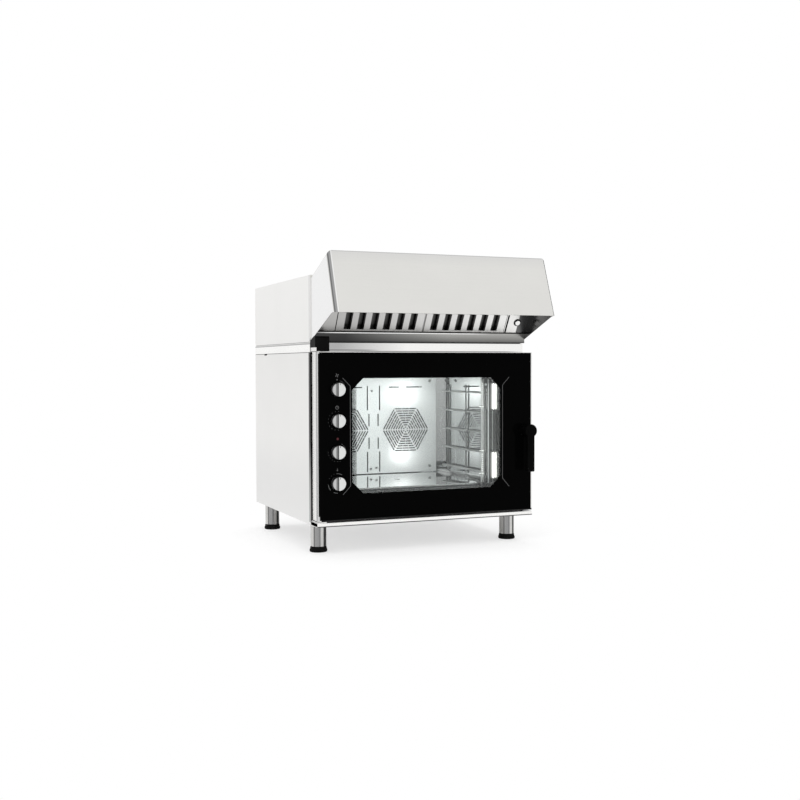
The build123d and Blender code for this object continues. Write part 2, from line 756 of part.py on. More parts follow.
# Door frame: folded steel body with a groove round its sides, a rear skin and a seat for the outer glass
door_left = -half + door_side_left
door_right = half - door_side_right
door_mid_x = (door_left + door_right) / 2
door_w = door_right - door_left
door_mid_z = (door_bottom + door_top) / 2
door_h = door_top - door_bottom
door_front = -door_gap - door_thickness
glass_rear = door_front + glass_thickness
glass_left = door_left + glass_side
glass_right = door_right - glass_side
glass_low = door_bottom + glass_bottom
glass_high = door_top - glass_top
inner_left = -window_left - inner_glass_lap
inner_right = window_right + inner_glass_lap
inner_low = window_bottom - inner_glass_lap
inner_high = window_top + inner_glass_lap
skin_front = -door_gap - door_skin
with BuildPart() as door_frame:
    with BuildSketch(facing(-door_gap, door_mid_x, door_mid_z)):
        Rectangle(door_w, door_h)
    extrude(amount=door_thickness)
    fillet(door_frame.edges().filter_by(Axis.Z), radius=1.5)
    with BuildSketch(facing(door_front + groove_start + groove_width, door_mid_x, door_mid_z)):
        Rectangle(door_w + 2, door_h + 2)
        Rectangle(door_w - 2 * groove_depth, door_h - 2 * groove_depth, mode=Mode.SUBTRACT)
    extrude(amount=groove_width, mode=Mode.SUBTRACT)
    with BuildSketch(facing(skin_front, door_mid_x, door_mid_z)):
        Rectangle(door_w - 2 * door_wall, door_h - 2 * door_wall)
    extrude(amount=door_thickness - door_skin - glass_thickness - plate, mode=Mode.SUBTRACT)
    with BuildSketch(facing(glass_rear + plate, door_mid_x, door_mid_z)):
        Rectangle(door_w - 2 * door_wall - 2 * flange, door_h - 2 * door_wall - 2 * flange)
    extrude(amount=plate, mode=Mode.SUBTRACT)
    with BuildSketch(facing(glass_rear)):
        with Locations(((glass_left + glass_right) / 2, (glass_low + glass_high) / 2)):
            Rectangle(glass_right - glass_left + 2 * seat, glass_high - glass_low + 2 * seat)
    extrude(amount=glass_thickness, mode=Mode.SUBTRACT)
    with BuildSketch(facing(-door_gap)):
        with Locations(((window_right - window_left) / 2, (window_bottom + window_top) / 2)):
            Rectangle(window_left + window_right, window_top - window_bottom)
        with Locations((handle_x, handle_z)):
            Circle(spindle_d / 2 + 2 * seat)
    extrude(amount=door_skin, mode=Mode.SUBTRACT)
    with BuildSketch(level(door_bottom, -hinge_x, -hinge_depth)):
        Circle(hinge_bush_d / 2)
    extrude(amount=door_h, mode=Mode.SUBTRACT)
save(door_frame.part, "door_frame")

# Nylon bushes of the hinge, with collars against the inside of the door's top and bottom
with BuildPart() as hinge_bushes:
    for bush_end, hand in ((door_bottom, 1), (door_top, -1)):
        with BuildSketch(level(bush_end, -hinge_x, -hinge_depth)):
            Circle(hinge_bush_d / 2 - seat)
        extrude(amount=hand * hinge_bush_length)
        with BuildSketch(level(bush_end + hand * door_wall, -hinge_x, -hinge_depth)):
            Circle(hinge_bush_d / 2 + 2)
        extrude(amount=hand * 3)
        with BuildSketch(level(bush_end - hand, -hinge_x, -hinge_depth)):
            Circle(hinge_pin_d / 2 + running)
        extrude(amount=hand * (hinge_bush_length + 2), mode=Mode.SUBTRACT)
save(hinge_bushes.part, "hinge_bushes")

# Hinge brackets, each with the pin that a bush turns on
pin_length = hinge_bush_length - 1
block_low = door_top + 2.3
block_width = 48.0
block_mid = -half + 2 + block_width / 2
with BuildPart() as hinge_bracket_top:
    with BuildSketch(level(block_low, block_mid, -(hinge_cover_reach - hinge_cover_wall) / 2)):
        Rectangle(block_width, hinge_cover_reach - hinge_cover_wall)
    extrude(amount=hinge_block)
    chamfer(hinge_bracket_top.edges().filter_by(Axis.Z).sort_by(Axis.X)[:2].sort_by(Axis.Y)[:1], length=6)
    with BuildSketch(level(door_top - pin_length, -hinge_x, -hinge_depth)):
        Circle(hinge_pin_d / 2)
    extrude(amount=pin_length + hinge_block)
save(hinge_bracket_top.part, "hinge_bracket_top")

bracket_thick = 3.5
with BuildPart() as hinge_bracket_bottom:
    with BuildSketch(level(base_top, -hinge_x, -(base_lip + 1) / 2)):
        RectangleRounded(36, base_lip - 7, 3)
    extrude(amount=bracket_thick)
    with BuildSketch(level(base_top, -hinge_x, -hinge_depth)):
        Circle(hinge_bush_d / 2 + 1)
    extrude(amount=door_bottom - base_top - seat)
    with BuildSketch(level(base_top, -hinge_x, -hinge_depth)):
        Circle(hinge_pin_d / 2)
    extrude(amount=door_bottom - base_top + pin_length)
save(hinge_bracket_bottom.part, "hinge_bracket_bottom")

# Black cap over the top bracket, cut away at the rear for the drip channel
cap_mid = -half + 32.0
cap_step = cabinet_top + seat
cap_rear = 26.0
cap_left_low = block_low + hinge_block + seat
cheek_x = -half + 1
cheek_low = cabinet_top + canopy_low_rise - 1.5
cheek_turn = (hinge_cover_top - cheek_low) / tan(radians(canopy_low_tilt))
cheek_step = cheek_low + cap_rear * tan(radians(canopy_low_tilt))
with BuildPart() as hinge_cover:
    with BuildSketch(side(cap_mid - hinge_cover_width / 2)):
        with BuildLine():
            Polyline(
                (-hinge_cover_reach, block_low),
                (0, block_low),
                (0, cap_step),
                (-cap_rear, cap_step),
                (-cap_rear, hinge_cover_top),
                (-hinge_cover_reach + 5, hinge_cover_top),
                (-hinge_cover_reach, hinge_cover_top - 5),
                close=True,
            )
        make_face()
    extrude(amount=hinge_cover_width)
    fillet(hinge_cover.edges().filter_by(Axis.Z).group_by(Axis.Y)[0], radius=1.5)
    with BuildSketch(side(cap_mid - hinge_cover_width / 2 + hinge_cover_wall)):
        with BuildLine():
            Polyline(
                (-hinge_cover_reach + hinge_cover_wall, block_low - 1),
                (1, block_low - 1),
                (1, cap_step - hinge_cover_wall),
                (-cap_rear - hinge_cover_wall, cap_step - hinge_cover_wall),
                (-cap_rear - hinge_cover_wall, hinge_cover_top - hinge_cover_wall),
                (-hinge_cover_reach + 5 + hinge_cover_wall / 2, hinge_cover_top - hinge_cover_wall),
                (-hinge_cover_reach + hinge_cover_wall, hinge_cover_top - 5 - hinge_cover_wall / 2),
                close=True,
            )
        make_face()
    extrude(amount=hinge_cover_width - 2 * hinge_cover_wall, mode=Mode.SUBTRACT)
    with BuildSketch(level(block_low - 1)):
        with Locations((cap_mid - hinge_cover_width / 2, -hinge_cover_reach / 2 + hinge_cover_wall)):
            Rectangle(2 * hinge_cover_wall + 1, hinge_cover_reach)
    extrude(amount=cap_left_low - block_low + 1, mode=Mode.SUBTRACT)
    # Cheek flush with the casing, cut off under the canopy's low edge
    with BuildSketch(side(cheek_x)):
        with BuildLine():
            Polyline(
                (-hinge_cover_reach, cap_left_low),
                (0, cap_left_low),
                (0, cheek_low),
                (-cheek_turn, hinge_cover_top),
                (-hinge_cover_reach + 5, hinge_cover_top),
                (-hinge_cover_reach, hinge_cover_top - 5),
                close=True,
            )
        make_face()
    extrude(amount=canopy_inset - 1 - seat)
    with BuildSketch(side(cheek_x)):
        with BuildLine():
            Polyline(
                (-hinge_cover_reach, cap_left_low),
                (0, cap_left_low),
                (0, cap_step),
                (-cap_rear, cap_step),
                (-cap_rear, cheek_step),
                (-cheek_turn, hinge_cover_top),
                (-hinge_cover_reach + 5, hinge_cover_top),
                (-hinge_cover_reach, hinge_cover_top - 5),
                close=True,
            )
        make_face()
    extrude(amount=cap_mid - hinge_cover_width / 2 + hinge_cover_wall - cheek_x)
save(hinge_cover.part, "hinge_cover")

# Glass panes of the door
knob_places = [(-knob_x, knob_top - knob_pitch * step) for step in range(knob_count)]
with BuildPart() as door_outer_glass:
    with BuildSketch(facing(glass_rear)):
        with Locations(((glass_left + glass_right) / 2, (glass_low + glass_high) / 2)):
            Rectangle(glass_right - glass_left, glass_high - glass_low)
        with Locations(*knob_places):
            Circle(knob_hub_d / 2 + rod_hole_gap, mode=Mode.SUBTRACT)
        with Locations((handle_x, handle_z)):
            Circle(spindle_d / 2 + rod_hole_gap, mode=Mode.SUBTRACT)
    extrude(amount=glass_thickness)
    chamfer(door_outer_glass.edges().filter_by(GeomType.LINE).group_by(Axis.Y)[0], length=0.8)
save(door_outer_glass.part, "door_outer_glass")

with BuildPart() as door_inner_glass:
    with BuildSketch(facing(skin_front)):
        with Locations(((inner_left + inner_right) / 2, (inner_low + inner_high) / 2)):
            RectangleRounded(inner_right - inner_left, inner_high - inner_low, 4)
    extrude(amount=glass_thickness)
save(door_inner_glass.part, "door_inner_glass")

# Control carrier: a folded channel behind the left part of the glass, with the switches and pilot lamps on it
carrier_low = door_bottom + hinge_bush_length + 4
carrier_high = door_top - hinge_bush_length - 4
carrier_left = door_left + door_wall + flange
carrier_front = glass_rear + plate
carrier_rear = skin_front - 24.0
with BuildPart() as control_carrier:
    with BuildSketch(level(carrier_low)):
        with BuildLine():
            Polyline(
                (-carrier_right, glass_rear),
                (-carrier_right, carrier_rear),
                (carrier_left, carrier_rear),
                (carrier_left, carrier_front),
                (carrier_left - 10, carrier_front),
                (carrier_left - 10, carrier_front + panel),
                (carrier_left - panel, carrier_front + panel),
                (carrier_left - panel, carrier_rear + panel),
                (-carrier_right + panel, carrier_rear + panel),
                (-carrier_right + panel, glass_rear),
                close=True,
            )
        make_face()
    extrude(amount=carrier_high - carrier_low)
save(control_carrier.part, "control_carrier")

switch_front = carrier_rear - switch_depth
with BuildPart() as control_switches:
    with BuildSketch(facing(carrier_rear)):
        with Locations(*knob_places):
            RectangleRounded(switch_size, switch_size, 4)
    extrude(amount=switch_depth)
    with BuildSketch(facing(switch_front)):
        with Locations(*knob_places):
            Circle(switch_size * 0.3)
    extrude(amount=4)
    with BuildSketch(facing(carrier_rear - 8)):
        with Locations(*knob_places):
            Circle(knob_hub_d / 2 + running)
    extrude(amount=switch_depth, mode=Mode.SUBTRACT)
save(control_switches.part, "control_switches")

pilot_heights = (knob_top + 35, knob_top - 2 * knob_pitch + 50, knob_top - 3 * knob_pitch + 47)
with BuildPart() as pilot_lamps:
    with BuildSketch(facing(carrier_rear)):
        with Locations(*[(-knob_x, height) for height in pilot_heights]):
            Circle(pilot_d / 2 + 1.5)
    extrude(amount=carrier_rear - glass_rear - 8)
    with BuildSketch(facing(carrier_rear)):
        with Locations(*[(-knob_x, height) for height in pilot_heights]):
            Circle(pilot_d / 2)
    extrude(amount=carrier_rear - glass_rear)
save(pilot_lamps.part, "pilot_lamps")

# Lamp channel at the window's right side: an angle with windows behind the two lamps
channel_rear = skin_front - glass_thickness - 5.0
lamp_x = (lamp_left + lamp_right) / 2 + 5
lamp_places = [(lamp_x, low + lamp_height / 2) for low in (lamp_low, lamp_high)]
with BuildPart() as lamp_channel:
    with BuildSketch(level(door_bottom + door_wall)):
        with BuildLine():
            Polyline(
                (lamp_right, carrier_front),
                (lamp_right, channel_rear),
                (lamp_left, channel_rear),
                (lamp_left, channel_rear - 8),
                (lamp_left + panel, channel_rear - 8),
                (lamp_left + panel, channel_rear - panel),
                (lamp_right - panel, channel_rear - panel),
                (lamp_right - panel, carrier_front),
                close=True,
            )
        make_face()
    extrude(amount=door_h - 2 * door_wall)
    with BuildSketch(facing(channel_rear + 1)):
        with Locations(*lamp_places):
            Rectangle(lamp_width - 8, lamp_height - 8)
    extrude(amount=panel + 2, mode=Mode.SUBTRACT)
save(lamp_channel.part, "lamp_channel")

with BuildPart() as door_lamps:
    with BuildSketch(facing(channel_rear - panel)):
        with Locations(*lamp_places):
            RectangleRounded(lamp_width, lamp_height, 5)
    extrude(amount=lamp_depth)
    fillet(door_lamps.edges().group_by(Axis.Y)[0], radius=4)
save(door_lamps.part, "door_lamps")

# Sleeve that carries the handle's spindle between the glass and the rear skin
with BuildPart() as handle_bearing:
    with BuildSketch(facing(skin_front, handle_x, handle_z)):
        Circle(spindle_d / 2 + 4)
        Circle(spindle_d / 2 + running, mode=Mode.SUBTRACT)
    extrude(amount=skin_front - glass_rear)
    with BuildSketch(facing(skin_front, handle_x, handle_z)):
        Circle(spindle_d / 2 + 10)
        Circle(spindle_d / 2 + running, mode=Mode.SUBTRACT)
    extrude(amount=4)
save(handle_bearing.part, "handle_bearing")

# Handle: a round boss with a flat lever that hangs down, on the spindle that carries the latch
boss_rear = door_front - seat
boss_front = door_front - handle_reach
spindle_seat = boss_rear - 30
with BuildPart() as handle_lever:
    with BuildSketch(facing(boss_rear, handle_x, handle_z)):
        Circle(handle_boss_d / 2)
    extrude(amount=boss_rear - boss_front)
    chamfer(handle_lever.edges().group_by(Axis.Y)[0], length=2)
    with BuildSketch(level(handle_z - handle_length, handle_x, boss_front + handle_grip_thickness / 2)):
        RectangleRounded(handle_width, handle_grip_thickness, 5)
    extrude(amount=handle_length)
    with BuildSketch(facing(boss_rear, handle_x, handle_z)):
        Circle(spindle_d / 2 + seat)
    extrude(amount=boss_rear - spindle_seat, mode=Mode.SUBTRACT)
save(handle_lever.part, "handle_lever")

with BuildPart() as handle_spindle:
    with BuildSketch(facing(latch_depth, handle_x, handle_z)):
        Circle(spindle_d / 2)
    extrude(amount=latch_depth - spindle_seat)
    with BuildSketch(facing(latch_depth, handle_x, handle_z)):
        with Locations((0, -latch_reach / 2)):
            Rectangle(latch_width, latch_reach)
    extrude(amount=latch_depth - 2)
    latch_tip = handle_spindle.edges().filter_by(Axis.Y).group_by(Axis.Z)[0]
    fillet(latch_tip, radius=latch_width * 0.4)
save(handle_spindle.part, "handle_spindle")

# Knobs: a round disc with a scoop on each side of the grip bar, and the hub that enters the switch
knob_rear = door_front - seat
scoop_r = knob_d * 0.42
for step, (place_x, place_z) in enumerate(knob_places):
    with BuildPart(facing(knob_rear, place_x, place_z)) as knob:
        Cylinder(knob_d / 2, knob_height, align=(Align.CENTER, Align.CENTER, Align.MIN))
        fillet(knob.edges().group_by(Axis.Y)[0], radius=2)
        for hand in (-1, 1):
            with Locations((hand * (knob_grip / 2 + scoop_r), 0, knob_skirt + scoop_r)):
                Sphere(scoop_r, mode=Mode.SUBTRACT)
        with Locations((0, knob_d / 2 - 3, knob_height)):
            Box(2, 7, 2, mode=Mode.SUBTRACT)
        with Locations((0, 0, -(switch_front + 18 - knob_rear))):
            Cylinder(
                knob_hub_d / 2,
                switch_front + 18 - knob_rear + 1,
                align=(Align.CENTER, Align.CENTER, Align.MIN),
            )
    save(knob.part, f"knob_{step + 1}")

# Hood housing: a sheet box on a narrower foot, open to the canopy, with holes for vent and spigot
housing_floor = cabinet_top + hood_foot
with BuildPart() as hood_housing:
    with BuildSketch(level(cabinet_top, 0, cabinet_depth / 2)):
        Rectangle(width - 2 * hood_foot, cabinet_depth - 2 * hood_foot)
        Rectangle(width - 2 * hood_foot - 2 * flange, cabinet_depth - 2 * hood_foot - 2 * flange, mode=Mode.SUBTRACT)
    extrude(amount=hood_foot)
    with BuildSketch(level(housing_floor, 0, cabinet_depth / 2)):
        Rectangle(width, cabinet_depth)
    extrude(amount=hood_top - housing_floor)
    fillet(hood_housing.edges().group_by(Axis.Z)[-1], radius=1.0)
    with BuildSketch(level(housing_floor + panel, 0, cabinet_depth / 2)):
        Rectangle(width - 2 * panel, cabinet_depth - 2 * panel)
    extrude(amount=hood_top - housing_floor - 2 * panel, mode=Mode.SUBTRACT)
    with BuildSketch(facing(panel + 1)):
        with Locations((0, (housing_floor + hood_top) / 2)):
            Rectangle(width - 2 * hood_flange, hood_top - housing_floor - 2 * hood_flange)
    extrude(amount=panel + 2, mode=Mode.SUBTRACT)
    with BuildSketch(level(housing_floor - 1, vent_x, vent_depth)):
        Circle(vent_d / 2 + rod_hole_gap)
    extrude(amount=panel + 2, mode=Mode.SUBTRACT)
    with BuildSketch(level(hood_top + 1, 0, spigot_depth)):
        Circle(spigot_d / 2 - 4)
    extrude(amount=-panel - 2, mode=Mode.SUBTRACT)
save(hood_housing.part, "hood_housing")

# Canopy profile in depth and height: top, face, and the low edges of the sides
canopy_half = half - canopy_inset
top_way = (-cos(radians(canopy_top_tilt)), sin(radians(canopy_top_tilt)))
face_way = (-sin(radians(canopy_face_tilt)), -cos(radians(canopy_face_tilt)))
low_way = (-cos(radians(canopy_low_tilt)), sin(radians(canopy_low_tilt)))
top_rear = (0.0, hood_top)
brow = (-top_run, hood_top + top_rise)
nose = (-nose_reach, hood_top + top_rise - face_drop)
low_rear = (0.0, cabinet_top + canopy_low_rise)
low_bend = crossing(nose, (1, 0), low_rear, low_way)
inner_top = (0.0, hood_top - panel / cos(radians(canopy_top_tilt)))
inner_nose = (nose[0] + panel / cos(radians(canopy_face_tilt)), nose[1])
inner_brow = crossing(inner_top, top_way, inner_nose, face_way)
inner_rear = crossing(inner_top, top_way, (1.0, 0.0), (0, 1))
inner_low = crossing(inner_nose, face_way, (0.0, cabinet_top - 10), (1, 0))
top_axis = Axis((0, 0, 0), (0, top_way[0], top_way[1]))
face_axis = Axis((0, 0, 0), (0, face_way[0], face_way[1]))

with BuildPart() as canopy_inside:
    with BuildSketch(side(-canopy_half + panel)):
        with BuildLine():
            Polyline(inner_rear, inner_brow, inner_low, (1.0, inner_low[1]), close=True)
        make_face()
    extrude(amount=2 * (canopy_half - panel))
    inside_bends = canopy_inside.edges().filter_by(top_axis) + canopy_inside.edges().filter_by(face_axis)
    fillet(inside_bends, radius=canopy_bend - panel)

with BuildPart() as canopy:
    with BuildSketch(side(-canopy_half)) as canopy_side:
        with BuildLine():
            Polyline(top_rear, brow, nose, low_bend, low_rear, close=True)
        make_face()
        fillet(canopy_side.vertices().sort_by_distance(low_bend)[0], radius=60)
    extrude(amount=2 * canopy_half)
    outside_bends = canopy.edges().filter_by(top_axis) + canopy.edges().filter_by(face_axis)
    fillet(outside_bends, radius=canopy_bend)
    add(canopy_inside.part, mode=Mode.SUBTRACT)
    with BuildSketch(side(-canopy_half + canopy_bend)):
        with BuildLine():
            Polyline(
                nose,
                (nose[0] + canopy_lip, nose[1]),
                (nose[0] + canopy_lip, nose[1] + panel),
                crossing((0.0, nose[1] + panel), (1, 0), nose, face_way),
                close=True,
            )
        make_face()
    extrude(amount=2 * (canopy_half - canopy_bend))
    with BuildSketch(facing(0)):
        for hand in (-1, 1):
            flange_high = hood_top - canopy_bend - 2
            with Locations((hand * (canopy_half - canopy_flange / 2), (low_rear[1] + panel + flange_high) / 2)):
                Rectangle(canopy_flange, flange_high - low_rear[1] - panel)
    extrude(amount=panel)
save(canopy.part, "canopy")

# Filter plane: it leans forward from its foot to the canopy's brow
lean = radians(filter_tilt)
filter_way = (-sin(lean), cos(lean))
filter_foot = (-filter_foot_depth, cabinet_top + filter_foot_rise)
filter_end = crossing(filter_foot, filter_way, inner_top, top_way)
frame_rise = (filter_end[1] - filter_foot[1]) / cos(lean) - 2 * panel
frame_half_x = canopy_half - panel


def filter_face(rise=0.0, behind=0.0):
    """Plane of the filters' visible side: local y runs up the slope and the normal points out, forward and down."""
    depth = filter_foot[0] - rise * sin(lean) + behind * cos(lean)
    height = filter_foot[1] + rise * cos(lean) + behind * sin(lean)
    return Plane(origin=(0, front_y + depth, height), x_dir=(1, 0, 0), z_dir=(0, -cos(lean), -sin(lean)))


def filter_section(rise):
    """Plane across the slope: local x is X and local y is the depth behind the visible side."""
    depth = filter_foot[0] - rise * sin(lean)
    height = filter_foot[1] + rise * cos(lean)
    return Plane(origin=(0, front_y + depth, height), x_dir=(1, 0, 0), z_dir=(0, -sin(lean), cos(lean)))


# Filter frame: sheet with two openings, ledge below, rail above
filter_low = 5.0
filter_height = frame_rise - filter_head
rail_depth = filter_thick + 2 * filter_gap
filter_mid = filter_low + filter_height / 2
filter_places = [filter_shift + hand * (filter_width + filter_gap) / 2 for hand in (-1, 1)]
open_width = 2 * filter_width + 3 * filter_gap
open_rise = filter_low + filter_height + filter_lift + filter_gap
with BuildPart() as filter_frame:
    with BuildSketch(filter_face()) as frame_face:
        with Locations((0, frame_rise / 2)):
            Rectangle(2 * frame_half_x, frame_rise)
        chamfer(frame_face.vertices().group_by(Axis.Y)[-1], length=canopy_bend + 10)
        with Locations((filter_shift, (filter_low + open_rise) / 2 - filter_lift)):
            Rectangle(open_width, open_rise - filter_low, mode=Mode.SUBTRACT)
        with Locations((button_x, button_rise)):
            Circle(button_bezel_d / 2 - 2.5, mode=Mode.SUBTRACT)
    extrude(amount=-panel)
    with BuildSketch(filter_section(filter_low)):
        with Locations((filter_shift, rail_depth / 2)):
            Rectangle(open_width, rail_depth)
    extrude(amount=-panel)
    with BuildSketch(filter_section(filter_low - panel)):
        with Locations((filter_shift, rail_depth - panel / 2)):
            Rectangle(open_width, panel)
    extrude(amount=filter_rail)
    with BuildSketch(filter_section(open_rise)):
        with Locations((filter_shift, rail_depth / 2)):
            Rectangle(open_width, rail_depth)
    extrude(amount=panel)
    with BuildSketch(filter_section(open_rise + panel)):
        with Locations((filter_shift, rail_depth - panel / 2)):
            Rectangle(open_width, panel)
    extrude(amount=-2 * filter_rail)
save(filter_frame.part, "filter_frame")

# Labyrinth grease filters: flanged slots in front, channels behind them, in a rim
slot_places = [filter_pitch * (index - (filter_slots - 1) / 2) for index in range(filter_slots)]
for filter_name, filter_x in zip(("filter_left", "filter_right"), filter_places):
    with BuildPart() as grease_filter:
        with BuildSketch(filter_section(filter_low)):
            with Locations((filter_x, filter_gap + filter_thick / 2)):
                Rectangle(filter_width, filter_thick)
        extrude(amount=filter_height)
        with BuildSketch(filter_section(filter_low + filter_sheet)):
            with Locations((filter_x, filter_gap + filter_thick / 2 + filter_sheet / 2)):
                Rectangle(filter_width - 2 * filter_sheet, filter_thick - filter_sheet + 0.01)
        extrude(amount=filter_height - 2 * filter_sheet, mode=Mode.SUBTRACT)
        with BuildSketch(filter_face(filter_mid, filter_gap + filter_sheet + 1)):
            with Locations(*[(filter_x + place, 0) for place in slot_places]):
                Rectangle(filter_slot, filter_height - 2 * filter_rim)
        extrude(amount=filter_sheet + 2, mode=Mode.SUBTRACT)
        with BuildSketch(filter_section(filter_low + filter_sheet)):
            for hand in (-1, 1):
                leg_x = filter_slot / 2 + filter_sheet / 2
                with Locations(*[(filter_x + place + hand * leg_x, filter_gap) for place in slot_places]):
                    Rectangle(filter_sheet, filter_baffle_leg, align=(Align.CENTER, Align.MIN))
                back_x = (filter_baffle - filter_sheet) / 2
                with Locations(*[(filter_x + place + hand * back_x, filter_gap + filter_thick) for place in slot_places]):
                    Rectangle(filter_sheet, filter_baffle_leg, align=(Align.CENTER, Align.MAX))
            with Locations(*[(filter_x + place, filter_gap + filter_thick) for place in slot_places]):
                Rectangle(filter_baffle, filter_sheet, align=(Align.CENTER, Align.MAX))
        extrude(amount=filter_height - 2 * filter_sheet)
    save(grease_filter.part, filter_name)

# Drip channel under the filters
channel_reach = filter_foot_depth + 4
channel_low = cabinet_top + 2
channel_high = filter_foot[1] + 2
with BuildPart() as drip_channel:
    with BuildSketch(side(-frame_half_x + seat)):
        with Locations((-channel_reach + panel / 2, (channel_low + channel_high) / 2)):
            Rectangle(panel, channel_high - channel_low)
        with Locations((-channel_reach / 2, channel_low + panel / 2)):
            Rectangle(channel_reach, panel)
    extrude(amount=2 * (frame_half_x - seat))
    with BuildSketch(facing(0)):
        with Locations((0, channel_low + 12)):
            Rectangle(2 * (canopy_half - canopy_flange - seat), 24)
    extrude(amount=panel)
    for hand in (-1, 1):
        with BuildSketch(side(hand * (frame_half_x - seat))):
            with Locations((-(channel_reach + panel) / 2, channel_low + 10)):
                Rectangle(channel_reach - panel, 20)
        extrude(amount=-hand * panel)
save(drip_channel.part, "drip_channel")

# Push button of the hood with its bezel and switch body
cap_proud = 6.0
cap_hold = 9.0
with BuildPart() as hood_switch:
    with BuildSketch(filter_face()):
        with Locations((button_x, button_rise)):
            Circle(button_bezel_d / 2)
    extrude(amount=2.5)
    chamfer(hood_switch.edges().filter_by(GeomType.CIRCLE).sort_by(Axis.Y)[0], length=0.8)
    with BuildSketch(filter_face(0, panel)):
        with Locations((button_x, button_rise)):
            Circle(button_bezel_d / 2 - 2.5 - seat)
    extrude(amount=panel + 1)
    with BuildSketch(filter_face(0, panel + 30)):
        with Locations((button_x, button_rise)):
            Circle(button_bezel_d / 2)
    extrude(amount=30)
    with BuildSketch(filter_face(0, cap_hold + button_travel + 1)):
        with Locations((button_x, button_rise)):
            Circle(button_d / 2 + running)
    extrude(amount=cap_hold + button_travel + 5, mode=Mode.SUBTRACT)
save(hood_switch.part, "hood_switch")

with BuildPart() as hood_button:
    with BuildSketch(filter_face(0, cap_hold)):
        with Locations((button_x, button_rise)):
            Circle(button_d / 2)
    extrude(amount=cap_hold + cap_proud)
    chamfer(hood_button.edges().filter_by(GeomType.CIRCLE).sort_by(Axis.Y)[0], length=1)
save(hood_button.part, "hood_button")

# Exhaust spigot on the hood's roof
spigot_plate = 190.0
with BuildPart() as exhaust_spigot:
    with BuildSketch(level(hood_top, 0, spigot_depth)):
        RectangleRounded(spigot_plate, spigot_plate, 8)
        Circle(spigot_d / 2 - panel, mode=Mode.SUBTRACT)
        with GridLocations(spigot_plate - 20, spigot_plate - 20, 2, 2):
            Circle(3, mode=Mode.SUBTRACT)
    extrude(amount=plate)
    with BuildSketch(level(hood_top, 0, spigot_depth)):
        Circle(spigot_d / 2)
        Circle(spigot_d / 2 - panel, mode=Mode.SUBTRACT)
    extrude(amount=plate + spigot_height)
save(exhaust_spigot.part, "exhaust_spigot")

# Blower inside the hood: scroll with duct to the roof, wheel and motor
blower_z = cabinet_top + blower_rise
blower_depth = spigot_depth - scroll_r / 2 + 2.5
duct_high = hood_top - panel
with BuildPart() as hood_scroll:
    with BuildSketch(side(-scroll_width / 2)):
        with Locations((blower_depth, blower_z)):
            Circle(scroll_r)
        with Locations((spigot_depth, (blower_z + duct_high) / 2)):
            Rectangle(2 * (blower_depth + scroll_r - spigot_depth), duct_high - blower_z)
    extrude(amount=scroll_width)
    with BuildSketch(side(-scroll_width / 2 + plate)):
        with Locations((blower_depth, blower_z)):
            Circle(scroll_r - plate)
        with Locations((spigot_depth, (blower_z + duct_high + 1) / 2)):
            Rectangle(2 * (blower_depth + scroll_r - spigot_depth - plate), duct_high + 1 - blower_z)
    extrude(amount=scroll_width - 2 * plate, mode=Mode.SUBTRACT)
    with BuildSketch(side(-scroll_width / 2 - 1)):
        with Locations((blower_depth, blower_z)):
            Circle(blower_d * 0.4)
    extrude(amount=plate + 2, mode=Mode.SUBTRACT)
    with BuildSketch(side(scroll_width / 2 + 1)):
        with Locations((blower_depth, blower_z)):
            Circle(blower_shaft_d / 2 + 2)
    extrude(amount=-plate - 2, mode=Mode.SUBTRACT)
save(hood_scroll.part, "hood_scroll")

wheel_first = -blower_width / 2
with BuildPart() as hood_fan:
    with BuildSketch(side(blower_width / 2)):
        with Locations((blower_depth, blower_z)):
            Circle(blower_d / 2)
    extrude(amount=-plate)
    with BuildSketch(side(wheel_first)):
        with Locations((blower_depth, blower_z)):
            Circle(blower_d / 2)
            Circle(blower_d / 2 - 14, mode=Mode.SUBTRACT)
    extrude(amount=plate)
    with BuildSketch(side(wheel_first)):
        with Locations((blower_depth, blower_z)):
            with PolarLocations(blower_d / 2 - 8, blower_blades):
                Rectangle(14, plate, rotation=35)
    extrude(amount=blower_width)
    with BuildSketch(side(blower_width / 2)):
        with Locations((blower_depth, blower_z)):
            Circle(blower_shaft_d)
    extrude(amount=-blower_width / 2)
    with BuildSketch(side(blower_width / 2 - plate)):
        with Locations((blower_depth, blower_z)):
            Circle(blower_shaft_d / 2)
    extrude(amount=scroll_width / 2 - blower_width / 2 + plate + blower_motor_length * 0.8)
save(hood_fan.part, "hood_fan")

with BuildPart() as hood_motor:
    with BuildSketch(side(scroll_width / 2)):
        with Locations((blower_depth, blower_z)):
            Circle(blower_motor_d / 2)
    extrude(amount=blower_motor_length)
    fillet(hood_motor.edges().group_by(Axis.X)[-1], radius=8)
    with BuildSketch(level(housing_floor + panel, scroll_width / 2 + blower_motor_length / 2, blower_depth)):
        Rectangle(blower_motor_length * 0.6, blower_motor_d * 0.7)
    extrude(amount=4)
    with BuildSketch(level(housing_floor + panel, scroll_width / 2 + blower_motor_length / 2, blower_depth)):
        Rectangle(blower_motor_length * 0.4, blower_motor_d * 0.4)
    extrude(amount=blower_z - housing_floor - panel)
    with BuildSketch(side(scroll_width / 2 - 1)):
        with Locations((blower_depth, blower_z)):
            Circle(blower_shaft_d / 2 + running)
    extrude(amount=blower_motor_length * 0.8 + 2, mode=Mode.SUBTRACT)
save(hood_motor.part, "hood_motor")

